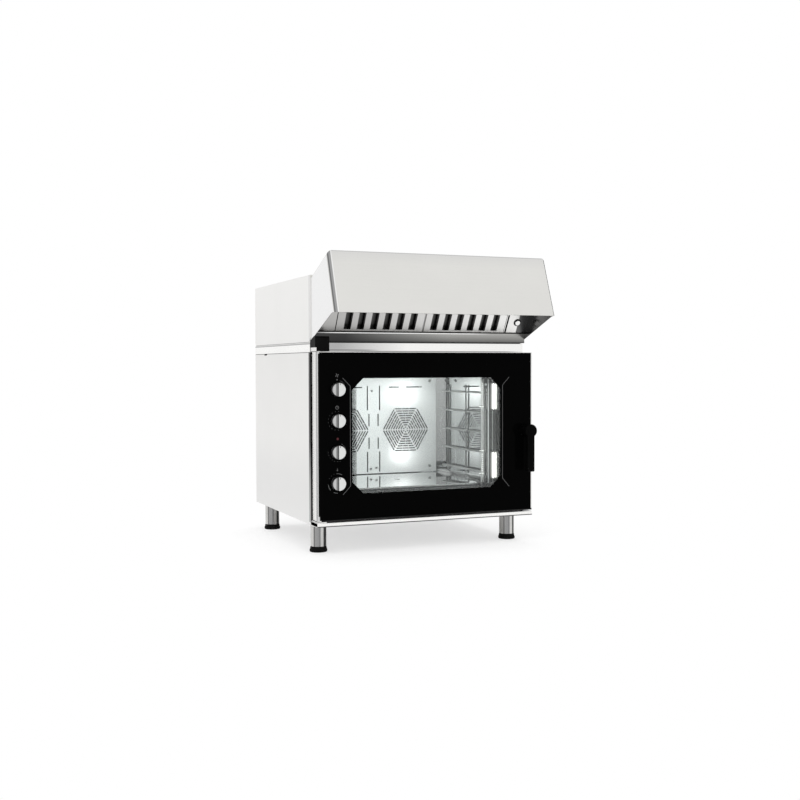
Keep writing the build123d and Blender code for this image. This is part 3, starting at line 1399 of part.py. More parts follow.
# Steam vent from the chamber's roof into the hood
with BuildPart() as steam_vent:
    with BuildSketch(level(chamber_top + plate, vent_x, vent_depth)):
        Circle(vent_d / 2 + 5)
        Circle(vent_d / 2 - plate, mode=Mode.SUBTRACT)
    extrude(amount=plate)
    with BuildSketch(level(chamber_top + plate, vent_x, vent_depth)):
        Circle(vent_d / 2)
        Circle(vent_d / 2 - plate, mode=Mode.SUBTRACT)
    extrude(amount=housing_floor + 24 - chamber_top - plate)
save(steam_vent.part, "steam_vent")

# Drain pipe from the chamber's floor, down and out through the rear panel
drain_start = chamber_floor - plate
drain_depth = deflector_depth / 2
with BuildPart() as drain_pipe:
    with BuildLine(side(0)) as drain_path:
        Polyline(
            (drain_depth, drain_start),
            (drain_depth, drain_height),
            (cabinet_depth + rear_reach, drain_height),
        )
        fillet(drain_path.vertices().sort_by_distance((0, front_y + drain_depth, drain_height))[0], radius=drain_bend)
    with BuildSketch(level(drain_start, 0, drain_depth)):
        Circle(drain_pipe_d / 2)
        Circle(drain_pipe_d / 2 - plate, mode=Mode.SUBTRACT)
    sweep(path=drain_path.wires()[0])
    with BuildSketch(level(drain_start, 0, drain_depth)):
        Circle(drain_d / 2 + 4)
        Circle(drain_pipe_d / 2 - plate, mode=Mode.SUBTRACT)
    extrude(amount=-plate)
    with BuildSketch(facing(cabinet_depth + rear_reach, 0, drain_height)):
        Circle(drain_d / 2)
        Circle(drain_pipe_d / 2 - plate, mode=Mode.SUBTRACT)
    extrude(amount=drain_sleeve)
save(drain_pipe.part, "drain_pipe")

# Water valve and cable gland on the rear panel
with BuildPart() as water_valve:
    with BuildSketch(facing(rear_inner)):
        with Locations((inlet_x, inlet_height)):
            RectangleRounded(44, 60, 4)
    extrude(amount=38)
    with BuildSketch(facing(rear_inner)):
        with Locations((inlet_x, inlet_height)):
            Circle(inlet_d / 2)
    extrude(amount=-panel - rear_reach * 0.6)
    with BuildSketch(facing(rear_inner + panel + rear_reach * 0.6)):
        with Locations((inlet_x, inlet_height)):
            Circle(inlet_d / 2 - 4)
    extrude(amount=rear_reach * 0.6, mode=Mode.SUBTRACT)
save(water_valve.part, "water_valve")

with BuildPart() as cable_gland:
    with BuildSketch(facing(rear_inner)):
        with Locations((gland_x, gland_height)):
            RegularPolygon(gland_bore_d, 6)
    extrude(amount=6)
    with BuildSketch(facing(rear_inner)):
        with Locations((gland_x, gland_height)):
            Circle(gland_bore_d / 2 + 4 - seat)
    extrude(amount=-panel - 1)
    with BuildSketch(facing(cabinet_depth)):
        with Locations((gland_x, gland_height)):
            RegularPolygon(gland_bore_d, 6)
    extrude(amount=-8)
    with BuildSketch(facing(cabinet_depth + 8)):
        with Locations((gland_x, gland_height)):
            Circle(gland_bore_d * 0.8)
    extrude(amount=-12)
    fillet(cable_gland.edges().group_by(Axis.Y)[-1], radius=2)
    with BuildSketch(facing(rear_inner - 8)):
        with Locations((gland_x, gland_height)):
            Circle(gland_bore_d / 2)
    extrude(amount=-40, mode=Mode.SUBTRACT)
save(cable_gland.part, "cable_gland")

# Component plate beside the insulation, with two contactors and the terminal block
tray_floor = leg_height + plate
with BuildPart() as electrical_parts:
    with BuildSketch(side(plate_x)):
        with Locations((component_depth, tray_floor + component_height / 2)):
            Rectangle(component_length, component_height)
    extrude(amount=plate)
    with BuildSketch(level(tray_floor, plate_x - 8, component_depth)):
        Rectangle(20, component_length)
    extrude(amount=plate)
    with BuildSketch(side(plate_x + plate)):
        with Locations((component_depth, tray_floor + contactor_rise)):
            with Locations((-70, 0), (0, 0)):
                Rectangle(54, 80)
            with Locations((60, 0)):
                Rectangle(40, 90)
    extrude(amount=32)
    with BuildSketch(side(plate_x + plate)):
        with Locations((component_depth - 20, tray_floor + terminal_rise)):
            Rectangle(150, 36)
    extrude(amount=22)
save(electrical_parts.part, "electrical_parts")
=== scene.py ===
"""Studio scene of a bakery convection oven that carries an extraction hood.

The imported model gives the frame. This script dresses its nodes with procedural finishes, replaces the
turned and moulded pieces with finer ones, and adds fasteners, prints and the studio.
"""

import json
import logging
import math
from dataclasses import dataclass
from enum import Enum
from functools import partial
from itertools import product
from typing import Callable, Dict, Iterable, List, Optional, Sequence, Tuple

import bmesh
import bpy
from mathutils import Matrix, Vector

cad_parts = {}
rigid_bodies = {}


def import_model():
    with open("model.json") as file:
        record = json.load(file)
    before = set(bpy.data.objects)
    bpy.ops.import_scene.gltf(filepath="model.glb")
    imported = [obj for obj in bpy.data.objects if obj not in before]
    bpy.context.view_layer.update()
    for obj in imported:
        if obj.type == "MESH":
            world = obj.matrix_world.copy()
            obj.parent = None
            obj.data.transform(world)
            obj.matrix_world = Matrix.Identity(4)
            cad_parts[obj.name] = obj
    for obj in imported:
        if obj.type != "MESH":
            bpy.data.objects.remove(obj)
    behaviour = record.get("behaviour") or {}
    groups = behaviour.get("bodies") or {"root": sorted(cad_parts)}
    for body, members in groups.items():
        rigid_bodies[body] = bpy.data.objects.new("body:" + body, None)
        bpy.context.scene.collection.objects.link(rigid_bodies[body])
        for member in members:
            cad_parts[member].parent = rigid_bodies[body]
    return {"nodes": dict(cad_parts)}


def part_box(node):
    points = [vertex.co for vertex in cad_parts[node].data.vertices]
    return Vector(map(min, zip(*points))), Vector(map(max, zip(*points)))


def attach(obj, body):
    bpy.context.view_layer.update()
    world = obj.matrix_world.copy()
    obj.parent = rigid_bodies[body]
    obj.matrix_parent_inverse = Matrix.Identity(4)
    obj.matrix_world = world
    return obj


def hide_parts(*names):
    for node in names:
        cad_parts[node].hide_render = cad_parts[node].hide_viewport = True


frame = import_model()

LOG = logging.getLogger("oven_scene")

Colour = Tuple[float, float, float]
Point = Tuple[float, float, float]

FRONT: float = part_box("top_cover")[0].y
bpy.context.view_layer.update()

AHEAD = Vector((0, -1, 0))
BACK = Vector((0, 1, 0))
UP = Vector((0, 0, 1))

DEFLECTOR_DEPTH = 484.0
KNOB_X = -372.0
KNOB_HEIGHTS = (619.0, 503.0, 387.0, 271.0)


class Body(str, Enum):
    """Bodies of the frame that pieces ride on."""

    CABINET = "cabinet"
    DOOR = "door"
    HANDLE = "handle"


def place(x: float, depth: float, height: float) -> Vector:
    """Give a point of the oven in metres.

    Args:
        x: Millimetres to the right of the middle.
        depth: Millimetres behind the cabinet's front plane.
        height: Millimetres above the floor.

    Returns:
        The point in the row frame.
    """
    return Vector((x / 1000.0, FRONT + depth / 1000.0, height / 1000.0))


# Shader graph helpers


class Signal:
    """A shader value whose operators add Math nodes."""

    def __init__(self, graph: "Graph", socket: bpy.types.NodeSocket) -> None:
        """Keep the output socket and the graph that it belongs to."""
        self.graph = graph
        self.socket = socket

    def math(self, operation: str, *others: object) -> "Signal":
        """Join this value and others in one Math node.

        Args:
            operation: Name of the Math node's operation.
            others: Further signals or plain numbers.

        Returns:
            The node's result.
        """
        inputs = dict(enumerate((self, *others)))
        return self.graph.node("ShaderNodeMath", inputs, operation=operation).out()

    def __add__(self, other: object) -> "Signal":
        """Give the sum."""
        return self.math("ADD", other)

    def __sub__(self, other: object) -> "Signal":
        """Give the difference."""
        return self.math("SUBTRACT", other)

    def __rsub__(self, other: object) -> "Signal":
        """Give the difference with a number first."""
        return self.graph.node("ShaderNodeMath", {0: other, 1: self}, operation="SUBTRACT").out()

    def __mul__(self, other: object) -> "Signal":
        """Give the product."""
        return self.math("MULTIPLY", other)

    def __truediv__(self, other: object) -> "Signal":
        """Give the quotient."""
        return self.math("DIVIDE", other)

    def __abs__(self) -> "Signal":
        """Give the value without its sign."""
        return self.math("ABSOLUTE")

    def __lt__(self, other: object) -> "Signal":
        """Give 1 where the value is smaller."""
        return self.math("LESS_THAN", other)

    def __gt__(self, other: object) -> "Signal":
        """Give 1 where the value is larger."""
        return self.math("GREATER_THAN", other)

    def clamped(self) -> "Signal":
        """Give the value held between 0 and 1."""
        return self.most(0.0).least(1.0)

    def most(self, other: object) -> "Signal":
        """Give the larger of this value and another."""
        return self.math("MAXIMUM", other)

    def least(self, other: object) -> "Signal":
        """Give the smaller of this value and another."""
        return self.math("MINIMUM", other)

    def wave(self, pitch: float) -> "Signal":
        """Give the distance to the middle of the cell that this value lies in, for cells of one pitch."""
        return abs(self.math("FLOORED_MODULO", pitch) - pitch / 2)


class NodeHandle:
    """A node of a graph with short ways to its outputs."""

    def __init__(self, graph: "Graph", node: bpy.types.Node) -> None:
        """Keep the node and the graph that it belongs to."""
        self.graph = graph
        self.node = node

    def out(self, name: object = 0) -> Signal:
        """Give one output as a signal."""
        return Signal(self.graph, self.node.outputs[name])


class Graph:
    """The node tree of one material."""

    def __init__(self, tree: bpy.types.NodeTree) -> None:
        """Empty a node tree and keep it."""
        self.tree = tree
        tree.nodes.clear()
        self._coords: Optional[NodeHandle] = None
        self._split: Optional[NodeHandle] = None

    def node(
        self, kind: str, inputs: Optional[Dict[object, object]] = None, **settings: object
    ) -> NodeHandle:
        """Add a node.

        Args:
            kind: Type name of the node.
            inputs: Input name or index to a signal or plain value.
            settings: Attributes of the node.

        Returns:
            A handle on the new node.
        """
        made = self.tree.nodes.new(kind)
        for name, value in settings.items():
            setattr(made, name, value)
        for name, value in (inputs or {}).items():
            if isinstance(value, Signal):
                self.tree.links.new(value.socket, made.inputs[name])
            elif isinstance(value, tuple) and len(value) == 3 and made.inputs[name].type == "RGBA":
                made.inputs[name].default_value = (*value, 1.0)
            else:
                made.inputs[name].default_value = value
        return NodeHandle(self, made)

    def coords(self) -> Signal:
        """Give the object coordinates, which are the row frame's."""
        if self._coords is None:
            self._coords = self.node("ShaderNodeTexCoord")
        return self._coords.out("Object")

    def axes(self) -> Tuple[Signal, Signal, Signal]:
        """Give the three object coordinates as separate values, in metres."""
        if self._split is None:
            self._split = self.node("ShaderNodeSeparateXYZ", {0: self.coords()})
        return self._split.out(0), self._split.out(1), self._split.out(2)

    def noise(self, scale: Sequence[float], detail: float = 4.0, roughness: float = 0.55) -> Signal:
        """Give a noise value whose cells are stretched by a scale along each axis."""
        mapped = self.node("ShaderNodeMapping", {"Vector": self.coords(), "Scale": tuple(scale)})
        made = self.node(
            "ShaderNodeTexNoise",
            {"Vector": mapped.out(), "Scale": 1.0, "Detail": detail, "Roughness": roughness},
        )
        return made.out(0)

    def blend(self, share: object, first: object, second: object) -> Signal:
        """Mix two colours by a share."""
        made = self.node("ShaderNodeMix", {0: share, 6: first, 7: second}, data_type="RGBA")
        return made.out(2)

    def bump(self, height: Signal, strength: float, distance: float) -> Signal:
        """Turn a height into a normal."""
        inputs = {"Height": height, "Strength": strength, "Distance": distance}
        return self.node("ShaderNodeBump", inputs).out()

    def surface(self, shader: Signal) -> None:
        """Make a shader the material's surface."""
        self.node("ShaderNodeOutputMaterial", {"Surface": shader})

    def principled(self, **inputs: object) -> Signal:
        """Add the main shader, with spaces in its input names written as underscores."""
        named = {name.replace("_", " "): value for name, value in inputs.items()}
        return self.node("ShaderNodeBsdfPrincipled", named).out()


# Finishes

LARGE_PATCHES = (4.0, 4.0, 4.0)
SMALL_PATCHES = (14.0, 14.0, 14.0)
BRUSH_DEPTH = 0.0004
MOULD_DEPTH = 0.0003


@dataclass(frozen=True)
class Slab:
    """A flat layer of space.

    Args:
        axis: Direction that the layer is measured along.
        low: Where the layer begins, in metres along the axis.
        high: Where the layer ends, in metres along the axis.
        soft: Width of the fade at each end, in metres.
    """

    axis: Point
    low: float
    high: float
    soft: float

    def mask(self, graph: Graph) -> Signal:
        """Give 1 inside the layer and 0 outside it."""
        along: Optional[Signal] = None
        for weight, value in zip(self.axis, graph.axes()):
            if weight:
                term = value * weight
                along = term if along is None else along + term
        rise = ((along - self.low) / self.soft).clamped()
        fall = ((self.high - along) / self.soft).clamped()
        return rise * fall


def across(low: float, high: float, soft: float = 0.5) -> Slab:
    """Give a slab between two places in X, in millimetres."""
    return Slab((1.0, 0.0, 0.0), low / 1000.0, high / 1000.0, soft / 1000.0)


def deep(low: float, high: float, soft: float = 0.5) -> Slab:
    """Give a slab between two depths behind the casing's front, in millimetres."""
    return Slab((0.0, 1.0, 0.0), FRONT + low / 1000.0, FRONT + high / 1000.0, soft / 1000.0)


def level(low: float, high: float, soft: float = 0.5) -> Slab:
    """Give a slab between two heights, in millimetres."""
    return Slab((0.0, 0.0, 1.0), low / 1000.0, high / 1000.0, soft / 1000.0)


@dataclass(frozen=True)
class PaintedLight:
    """Another colour painted where some slabs of space meet: painted shadows in seams and gaps, painted shade
    in recesses, painted highlights and reflection bands.

    Args:
        colour: Colour inside, as one grey level or three channels.
        slabs: Layers that meet there.
        share: Strength of that colour.
    """

    colour: object
    slabs: Tuple[Slab, ...]
    share: float = 1.0

    def mask(self, graph: Graph) -> Signal:
        """Give the share of the shade's colour at each point."""
        mask = self.slabs[0].mask(graph)
        for slab in self.slabs[1:]:
            mask = mask * slab.mask(graph)
        return mask * self.share

    def tint(self) -> Colour:
        """Give the colour as three channels."""
        return (self.colour,) * 3 if isinstance(self.colour, float) else self.colour


@dataclass(frozen=True)
class Metal:
    """A sheet or turned metal.

    Args:
        name: Material name.
        colour: Reflection colour.
        roughness: Mean roughness.
        grain: Noise scale along X, Y and Z; the smallest is the brushing direction.
        streak: How far the brushing moves the roughness.
        relief: Strength of the brushing's bump.
        cloud: How far large soft patches move the colour.
        metallic: Share of metal; less than 1 stands for a blasted or greasy sheet.
        painted_light: Slabs of painted light and shade in another colour.
    """

    name: str
    colour: Colour
    roughness: float
    grain: Tuple[float, float, float]
    streak: float = 0.12
    relief: float = 0.06
    cloud: float = 0.04
    metallic: float = 1.0
    painted_light: Tuple[PaintedLight, ...] = ()

    def build(self) -> bpy.types.Material:
        """Make the material."""
        material, graph = new_material(self.name)
        fine = graph.noise(self.grain, 5.0, 0.6)
        patches = graph.noise(LARGE_PATCHES, 3.0)
        darker = tuple(channel * (1.0 - 2.5 * self.cloud) for channel in self.colour)
        lighter = tuple(min(1.0, channel * (1.0 + self.cloud)) for channel in self.colour)
        share = (fine * 0.45 + patches * 0.55 - 0.25) * 2.0
        rough = (fine - 0.5) * self.streak + (patches - 0.5) * self.streak * 0.6 + self.roughness
        colour = graph.blend(share, darker, lighter)
        # Blend in the painted light and shade.
        for shade in self.painted_light:
            colour = graph.blend(shade.mask(graph), colour, shade.tint())
        graph.surface(
            graph.principled(
                Base_Color=colour,
                Metallic=self.metallic,
                Roughness=rough,
                Normal=graph.bump(fine, self.relief, BRUSH_DEPTH),
            )
        )
        return material


@dataclass(frozen=True)
class Moulded:
    """A moulded plastic, rubber or cast material with a fine surface grain.

    Args:
        name: Material name.
        colour: Mean colour.
        roughness: Mean roughness.
        grain: Noise scale of the surface grain.
        relief: Strength of the grain's bump.
        metallic: Share of metal.
        specular: Level of the reflection.
        spread: How far soft patches move the colour.
    """

    name: str
    colour: Colour
    roughness: float
    grain: float = 900.0
    relief: float = 0.12
    metallic: float = 0.0
    specular: float = 0.5
    spread: float = 0.15

    def build(self) -> bpy.types.Material:
        """Make the material."""
        material, graph = new_material(self.name)
        fine = graph.noise((self.grain,) * 3, 3.0)
        patches = graph.noise(SMALL_PATCHES, 4.0)
        darker = tuple(channel * (1.0 - self.spread) for channel in self.colour)
        lighter = tuple(min(1.0, channel * (1.0 + self.spread) + 0.002) for channel in self.colour)
        graph.surface(
            graph.principled(
                Base_Color=graph.blend(patches, darker, lighter),
                Metallic=self.metallic,
                Roughness=(patches - 0.5) * 0.12 + (fine - 0.5) * 0.06 + self.roughness,
                Specular_IOR_Level=self.specular,
                Normal=graph.bump(fine, self.relief, MOULD_DEPTH),
            )
        )
        return material


@dataclass(frozen=True)
class Wool:
    """Rock wool with matted fibres."""

    name: str
    colour: Colour

    def build(self) -> bpy.types.Material:
        """Make the material."""
        material, graph = new_material(self.name)
        long_way = graph.noise((60.0, 500.0, 500.0), 6.0, 0.7)
        cross_way = graph.noise((450.0, 60.0, 450.0), 6.0, 0.7)
        height = long_way.most(cross_way)
        dark = tuple(channel * 0.45 for channel in self.colour)
        graph.surface(
            graph.principled(
                Base_Color=graph.blend((height - 0.35) * 2.6, dark, self.colour),
                Roughness=0.95,
                Normal=graph.bump(height, 0.7, 0.002),
            )
        )
        return material


@dataclass(frozen=True)
class Glow:
    """A lit lamp: frosted glass, dimmer where its tray covers it.

    Args:
        name: Material name.
        colour: Colour of the light.
        strength: Strength of the light.
        painted_dim: Layers of space in which the light is painted dimmer, as painted shade.
    """

    name: str
    colour: Colour
    strength: float
    painted_dim: Tuple[Slab, ...] = ()

    def build(self) -> bpy.types.Material:
        """Make the material."""
        material, graph = new_material(self.name)
        frost = graph.noise((260.0, 260.0, 90.0), 3.0)
        dim = tuple(channel * 0.75 for channel in self.colour)
        light = graph.blend(frost, dim, self.colour)
        for slab in self.painted_dim:
            light = graph.blend(slab.mask(graph), light, tuple(channel * 0.13 for channel in self.colour))
        graph.surface(
            graph.principled(
                Base_Color=(0.35, 0.35, 0.34),
                Roughness=(frost - 0.5) * 0.2 + 0.35,
                Emission_Color=light,
                Emission_Strength=self.strength,
            )
        )
        return material


@dataclass(frozen=True)
class ClearPane:
    """A clear pane that mixes a see-through and a mirror shader by viewing angle."""

    name: str
    tint: Colour
    shine: float

    def build(self) -> bpy.types.Material:
        """Make the material."""
        material, graph = new_material(self.name)
        graph.surface(clear_shader(graph, self.tint, self.shine))
        return material


@dataclass(frozen=True)
class PrintedPane:
    """The door's outer pane: black print with a clear window whose corners are cut, and dots along its sides.

    Args:
        name: Material name.
        low: Window's low corner in X and Z, in metres.
        high: Window's high corner in X and Z, in metres.
        cut: Length of the corner cut along each side, in metres.
        band: Width of the dotted bands at the window's sides, in metres.
        dot: Pitch of the dots, in metres.
    """

    name: str
    low: Tuple[float, float]
    high: Tuple[float, float]
    cut: float
    band: float
    dot: float

    def build(self) -> bpy.types.Material:
        """Make the material."""
        material, graph = new_material(self.name)
        x, _, z = graph.axes()
        half_x = (self.high[0] - self.low[0]) / 2
        half_z = (self.high[1] - self.low[1]) / 2
        off_x = abs(x - (self.high[0] + self.low[0]) / 2)
        off_z = abs(z - (self.high[1] + self.low[1]) / 2)
        corner = (off_x + off_z - (half_x + half_z - self.cut)) * math.sqrt(0.5)
        edge = (off_x - half_x).most(off_z - half_z).most(corner)
        inside = edge < 0.0
        reach = ((off_x - (half_x - self.band)) / self.band).clamped()
        cell_x, cell_z = x.wave(self.dot), z.wave(self.dot)
        ring = (cell_x * cell_x + cell_z * cell_z).math("SQRT")
        dots = ring < (reach * 0.12 + 0.3) * (reach > 0.0) * self.dot
        clear = inside * (1.0 - dots)
        dust = graph.noise((30.0, 30.0, 30.0), 5.0)
        black = graph.principled(
            Base_Color=(0.001, 0.001, 0.001),
            Roughness=(dust - 0.5) * 0.04 + 0.09,
            Specular_IOR_Level=0.012,
        )
        pane = clear_shader(graph, (0.97, 0.985, 0.98), 0.05)
        graph.surface(graph.node("ShaderNodeMixShader", {0: clear, 1: black, 2: pane}).out())
        return material


def clear_shader(graph: Graph, tint: Colour, shine: float) -> Signal:
    """Give a see-through shader that mirrors more at flat angles."""
    smear = graph.noise((9.0, 9.0, 9.0), 5.0)
    facing = graph.node("ShaderNodeLayerWeight", {"Blend": 0.12}).out("Facing")
    through = graph.node("ShaderNodeBsdfTransparent", {"Color": tint}).out()
    polish = {"Color": (0.9, 0.92, 0.92), "Roughness": smear * 0.05 + 0.01}
    mirror = graph.node("ShaderNodeBsdfGlossy", polish).out()
    share = facing * 0.5 + shine * 0.5
    return graph.node("ShaderNodeMixShader", {0: share.least(1.0), 1: through, 2: mirror}).out()


def new_material(name: str) -> Tuple[bpy.types.Material, Graph]:
    """Make an empty node material and the graph that fills it."""
    material = bpy.data.materials.new(name)
    material.use_nodes = True
    return material, Graph(material.node_tree)


ACROSS = (3.0, 700.0, 700.0)
DEPTHWISE = (700.0, 3.0, 700.0)
UPRIGHT = (700.0, 700.0, 3.0)
EVEN = (260.0, 260.0, 260.0)

INTO_FILTER: Point = (0.0, -math.cos(math.radians(30.0)), -0.5)
LEG_X = 404.0

# Painted light and shade by place: painted shadows in seams and gaps, painted shade in recesses, and painted
# highlights and reflection bands.
PAINTED_LIGHT_TABLE = {
    "side": (
        # Painted shadow: a black strip along the side panels' front edge, for the gap beside the door.
        PaintedLight(0.004, (deep(-5.0, 19.0, 0.6), level(120.0, 757.5, 1.0))),
        # Painted shadow in the seam at the side panels' top.
        PaintedLight(0.3, (level(755.4, 758.6, 0.5),), 0.8),
        # Painted shade: the side panels darker towards the bottom.
        PaintedLight(0.72, (level(-100.0, 420.0, 380.0),)),
    ),
    "front_frame": (
        # Painted shadow: black bands on the front frame's outer edges, for the gap beside the door.
        PaintedLight(0.004, (across(-460.0, -443.2, 0.4), deep(-5.0, 30.0))),
        PaintedLight(0.004, (across(443.2, 460.0, 0.4), deep(-5.0, 30.0))),
    ),
    "base": (
        # Painted shadow under the front lip's lower edge, and painted shade along the base's top under the
        # door.
        PaintedLight(0.07, (level(100.0, 113.9, 0.5), deep(-90.0, -76.5))),
        PaintedLight(0.09, (level(124.8, 126.5, 0.3), deep(-77.0, 0.0, 2.0))),
    ),
    "cover": (
        # Painted reflection: the cover's front darker towards the left.
        PaintedLight(0.44, (across(-900.0, -60.0, 280.0), deep(-5.0, 3.0))),
        # Painted shade: a dark line and darker bands along the lower edge of the cover's front.
        PaintedLight(0.2, (level(764.2, 768.4, 0.8), deep(-5.0, 3.0), across(-450.0, -170.0, 60.0)), 0.9),
        PaintedLight(0.28, (level(700.0, 764.0, 1.5), deep(-5.0, 3.0), across(-330.0, 460.0, 90.0)), 0.85),
        PaintedLight(0.08, (level(700.0, 760.6, 1.0), deep(-5.0, 3.0), across(-330.0, 460.0, 90.0)), 0.9),
        # Painted shadow in the seam under the hood, on the cover's left side.
        PaintedLight(0.25, (level(786.5, 792.5), across(-470.0, -443.0)), 0.8),
    ),
    "hood": (
        # Painted shadow in the gap where the hood sits on the cover.
        PaintedLight(0.03, (level(780.0, 797.5), deep(-5.0, 25.0), across(-440.0, 440.0))),
        # Painted shadow in the seam between the hood and the canopy's side.
        PaintedLight(0.6, (deep(4.0, 13.0, 0.8), across(-470.0, -440.0), level(797.0, 1046.0)), 0.8),
        # Painted shadow in the seam under the hood's left side.
        PaintedLight(0.2, (level(786.0, 796.6), across(-470.0, -440.0)), 0.8),
    ),
    "filter": (
        # Painted shade: the filters darker towards the left.
        PaintedLight((0.47, 0.465, 0.455), (Slab((-1.0, 0.0, 0.0), -0.42, 9.0, 0.8),)),
        # Painted shade deep inside the filters' slots.
        PaintedLight((0.012, 0.012, 0.011), (Slab(INTO_FILTER, -0.4, -0.1688, 0.026),)),
        # Painted shadows under the filters' lower lip and in the gaps beside and between the filters.
        PaintedLight(0.01, (level(700.0, 837.6, 1.0),)),
        PaintedLight(0.005, (across(-361.0, -356.6, 0.4),)),
        PaintedLight(0.005, (across(353.6, 361.0, 0.4),)),
        PaintedLight(0.06, (across(-3.2, 3.2, 1.0),), 0.75),
        # Painted shadow on the right blank, under the canopy's side.
        PaintedLight(0.14, (across(404.6, 460.0, 1.5),)),
    ),
    "canopy": (
        # Painted reflection: the canopy's left side lighter than its face.
        PaintedLight(0.85, (across(-460.0, -445.3, 0.4),)),
        # Painted reflection bands and a painted highlight along the left bend.
        PaintedLight(0.34, (across(-444.8, -433.2, 1.0), deep(-300.0, -24.0))),
        PaintedLight(0.17, (across(-444.4, -439.8, 1.2), deep(-300.0, -24.0))),
        PaintedLight(0.88, (across(-433.0, -429.6, 0.8), deep(-300.0, -24.0))),
        # Painted shade on the inner right wall.
        PaintedLight(0.12, (across(444.1, 445.2, 0.2), deep(-300.0, 10.0))),
        # Painted reflection: the face darker towards the top, and painted shade on the top bend.
        PaintedLight(0.62, (level(1075.0, 1200.0, 60.0), deep(-300.0, -24.0), across(-432.0, 470.0, 2.0)), 0.6),
        PaintedLight(0.5, (level(1116.0, 1130.0, 0.8), across(-432.0, 470.0, 2.0)), 0.8),
    ),
    "gutter": (
        # Painted shade and reflection on the drip channel: darker towards the left and the bottom, a painted
        # shadow at its foot, a painted highlight along its top and painted shade above it.
        PaintedLight(0.06, (Slab((-1.0, 0.0, 0.0), -0.1, 9.0, 0.42),)),
        PaintedLight(0.03, (Slab((0.0, 0.0, -1.0), -0.831, 9.0, 0.046),)),
        PaintedLight(0.02, (level(790.0, 799.6, 1.0),), 0.7),
        PaintedLight(0.95, (level(828.8, 832.5, 0.5), across(-460.0, 300.0, 100.0)), 0.95),
        PaintedLight(0.02, (level(832.6, 900.0, 0.4),)),
    ),
    # Painted shade inside the deflector's slots.
    "deflector": (PaintedLight(0.004, (deep(484.3, 600.0, 0.2),)),),
    "chamber": (
        # Painted shade behind the deflector.
        PaintedLight(0.02, (deep(560.0, 900.0, 4.0), across(-250.0, 250.0, 3.0))),
        # Painted shade and reflection on the right wall: darker than the floor and towards the bottom, with
        # dark bands and a painted highlight line.
        PaintedLight((0.56, 0.565, 0.56), (across(290.0, 400.0, 14.0), deep(-20.0, 590.0, 4.0))),
        PaintedLight(0.26, (across(290.0, 400.0, 14.0), deep(-20.0, 590.0, 4.0), level(-100.0, 620.0, 320.0)), 0.85),
        PaintedLight(0.4, (across(290.0, 400.0, 14.0), deep(420.0, 482.0, 14.0)), 0.5),
        PaintedLight(0.9, (across(290.0, 400.0, 14.0), deep(350.0, 358.0, 3.0)), 0.5),
        PaintedLight(0.05, (across(290.0, 400.0, 14.0), deep(60.0, 112.0, 8.0)), 0.5),
    ),
    # Painted shade on the heaters and fans behind the deflector.
    "behind_deflector_shade": (PaintedLight(0.003, (deep(486.0, 600.0, 1.0),), 0.7),),
    # Painted reflections: dark and light upright bands on the legs.
    "leg": tuple(
        PaintedLight(colour, (across(x + low, x + high, soft),), share)
        for x in (-LEG_X, LEG_X)
        for colour, low, high, soft, share in (
            (0.13, -26.0, -18.0, 2.6, 0.9),
            (0.3, -20.0, 1.0, 2.5, 1.0),
            (0.18, -9.0, -3.0, 2.2, 0.7),
            (0.05, 10.0, 27.0, 2.0, 1.0),
        )
    ),
    "door": (
        # Painted shade: the door's bottom, the groove along its side, the side's front part and its left
        # front edge darker.
        PaintedLight(0.03, (level(100.0, 137.6, 0.4), across(-436.0, 460.0, 2.0))),
        PaintedLight(0.36, (deep(-57.0, -51.0, 1.5),), 0.9),
        PaintedLight(0.62, (deep(-90.0, -57.0, 1.5), across(-460.0, -440.0, 1.0))),
        PaintedLight(0.01, (deep(-90.0, -78.4, 0.4), across(-460.0, -440.0, 1.0), level(150.0, 752.0, 1.0))),
    ),
    "knob": (
        # Painted reflections: the knob's side wall black as it mirrors the black glass, and painted shade on
        # the left half and its scoop.
        PaintedLight(0.01, (deep(-97.5, 100.0, 1.5),)),
        PaintedLight(0.5, (across(-420.0, -374.8, 0.6),), 0.8),
        PaintedLight(0.16, (across(-386.5, -374.8, 3.5),), 0.9),
        PaintedLight(0.06, (across(-420.0, -393.0, 7.0),), 0.9),
    ),
}

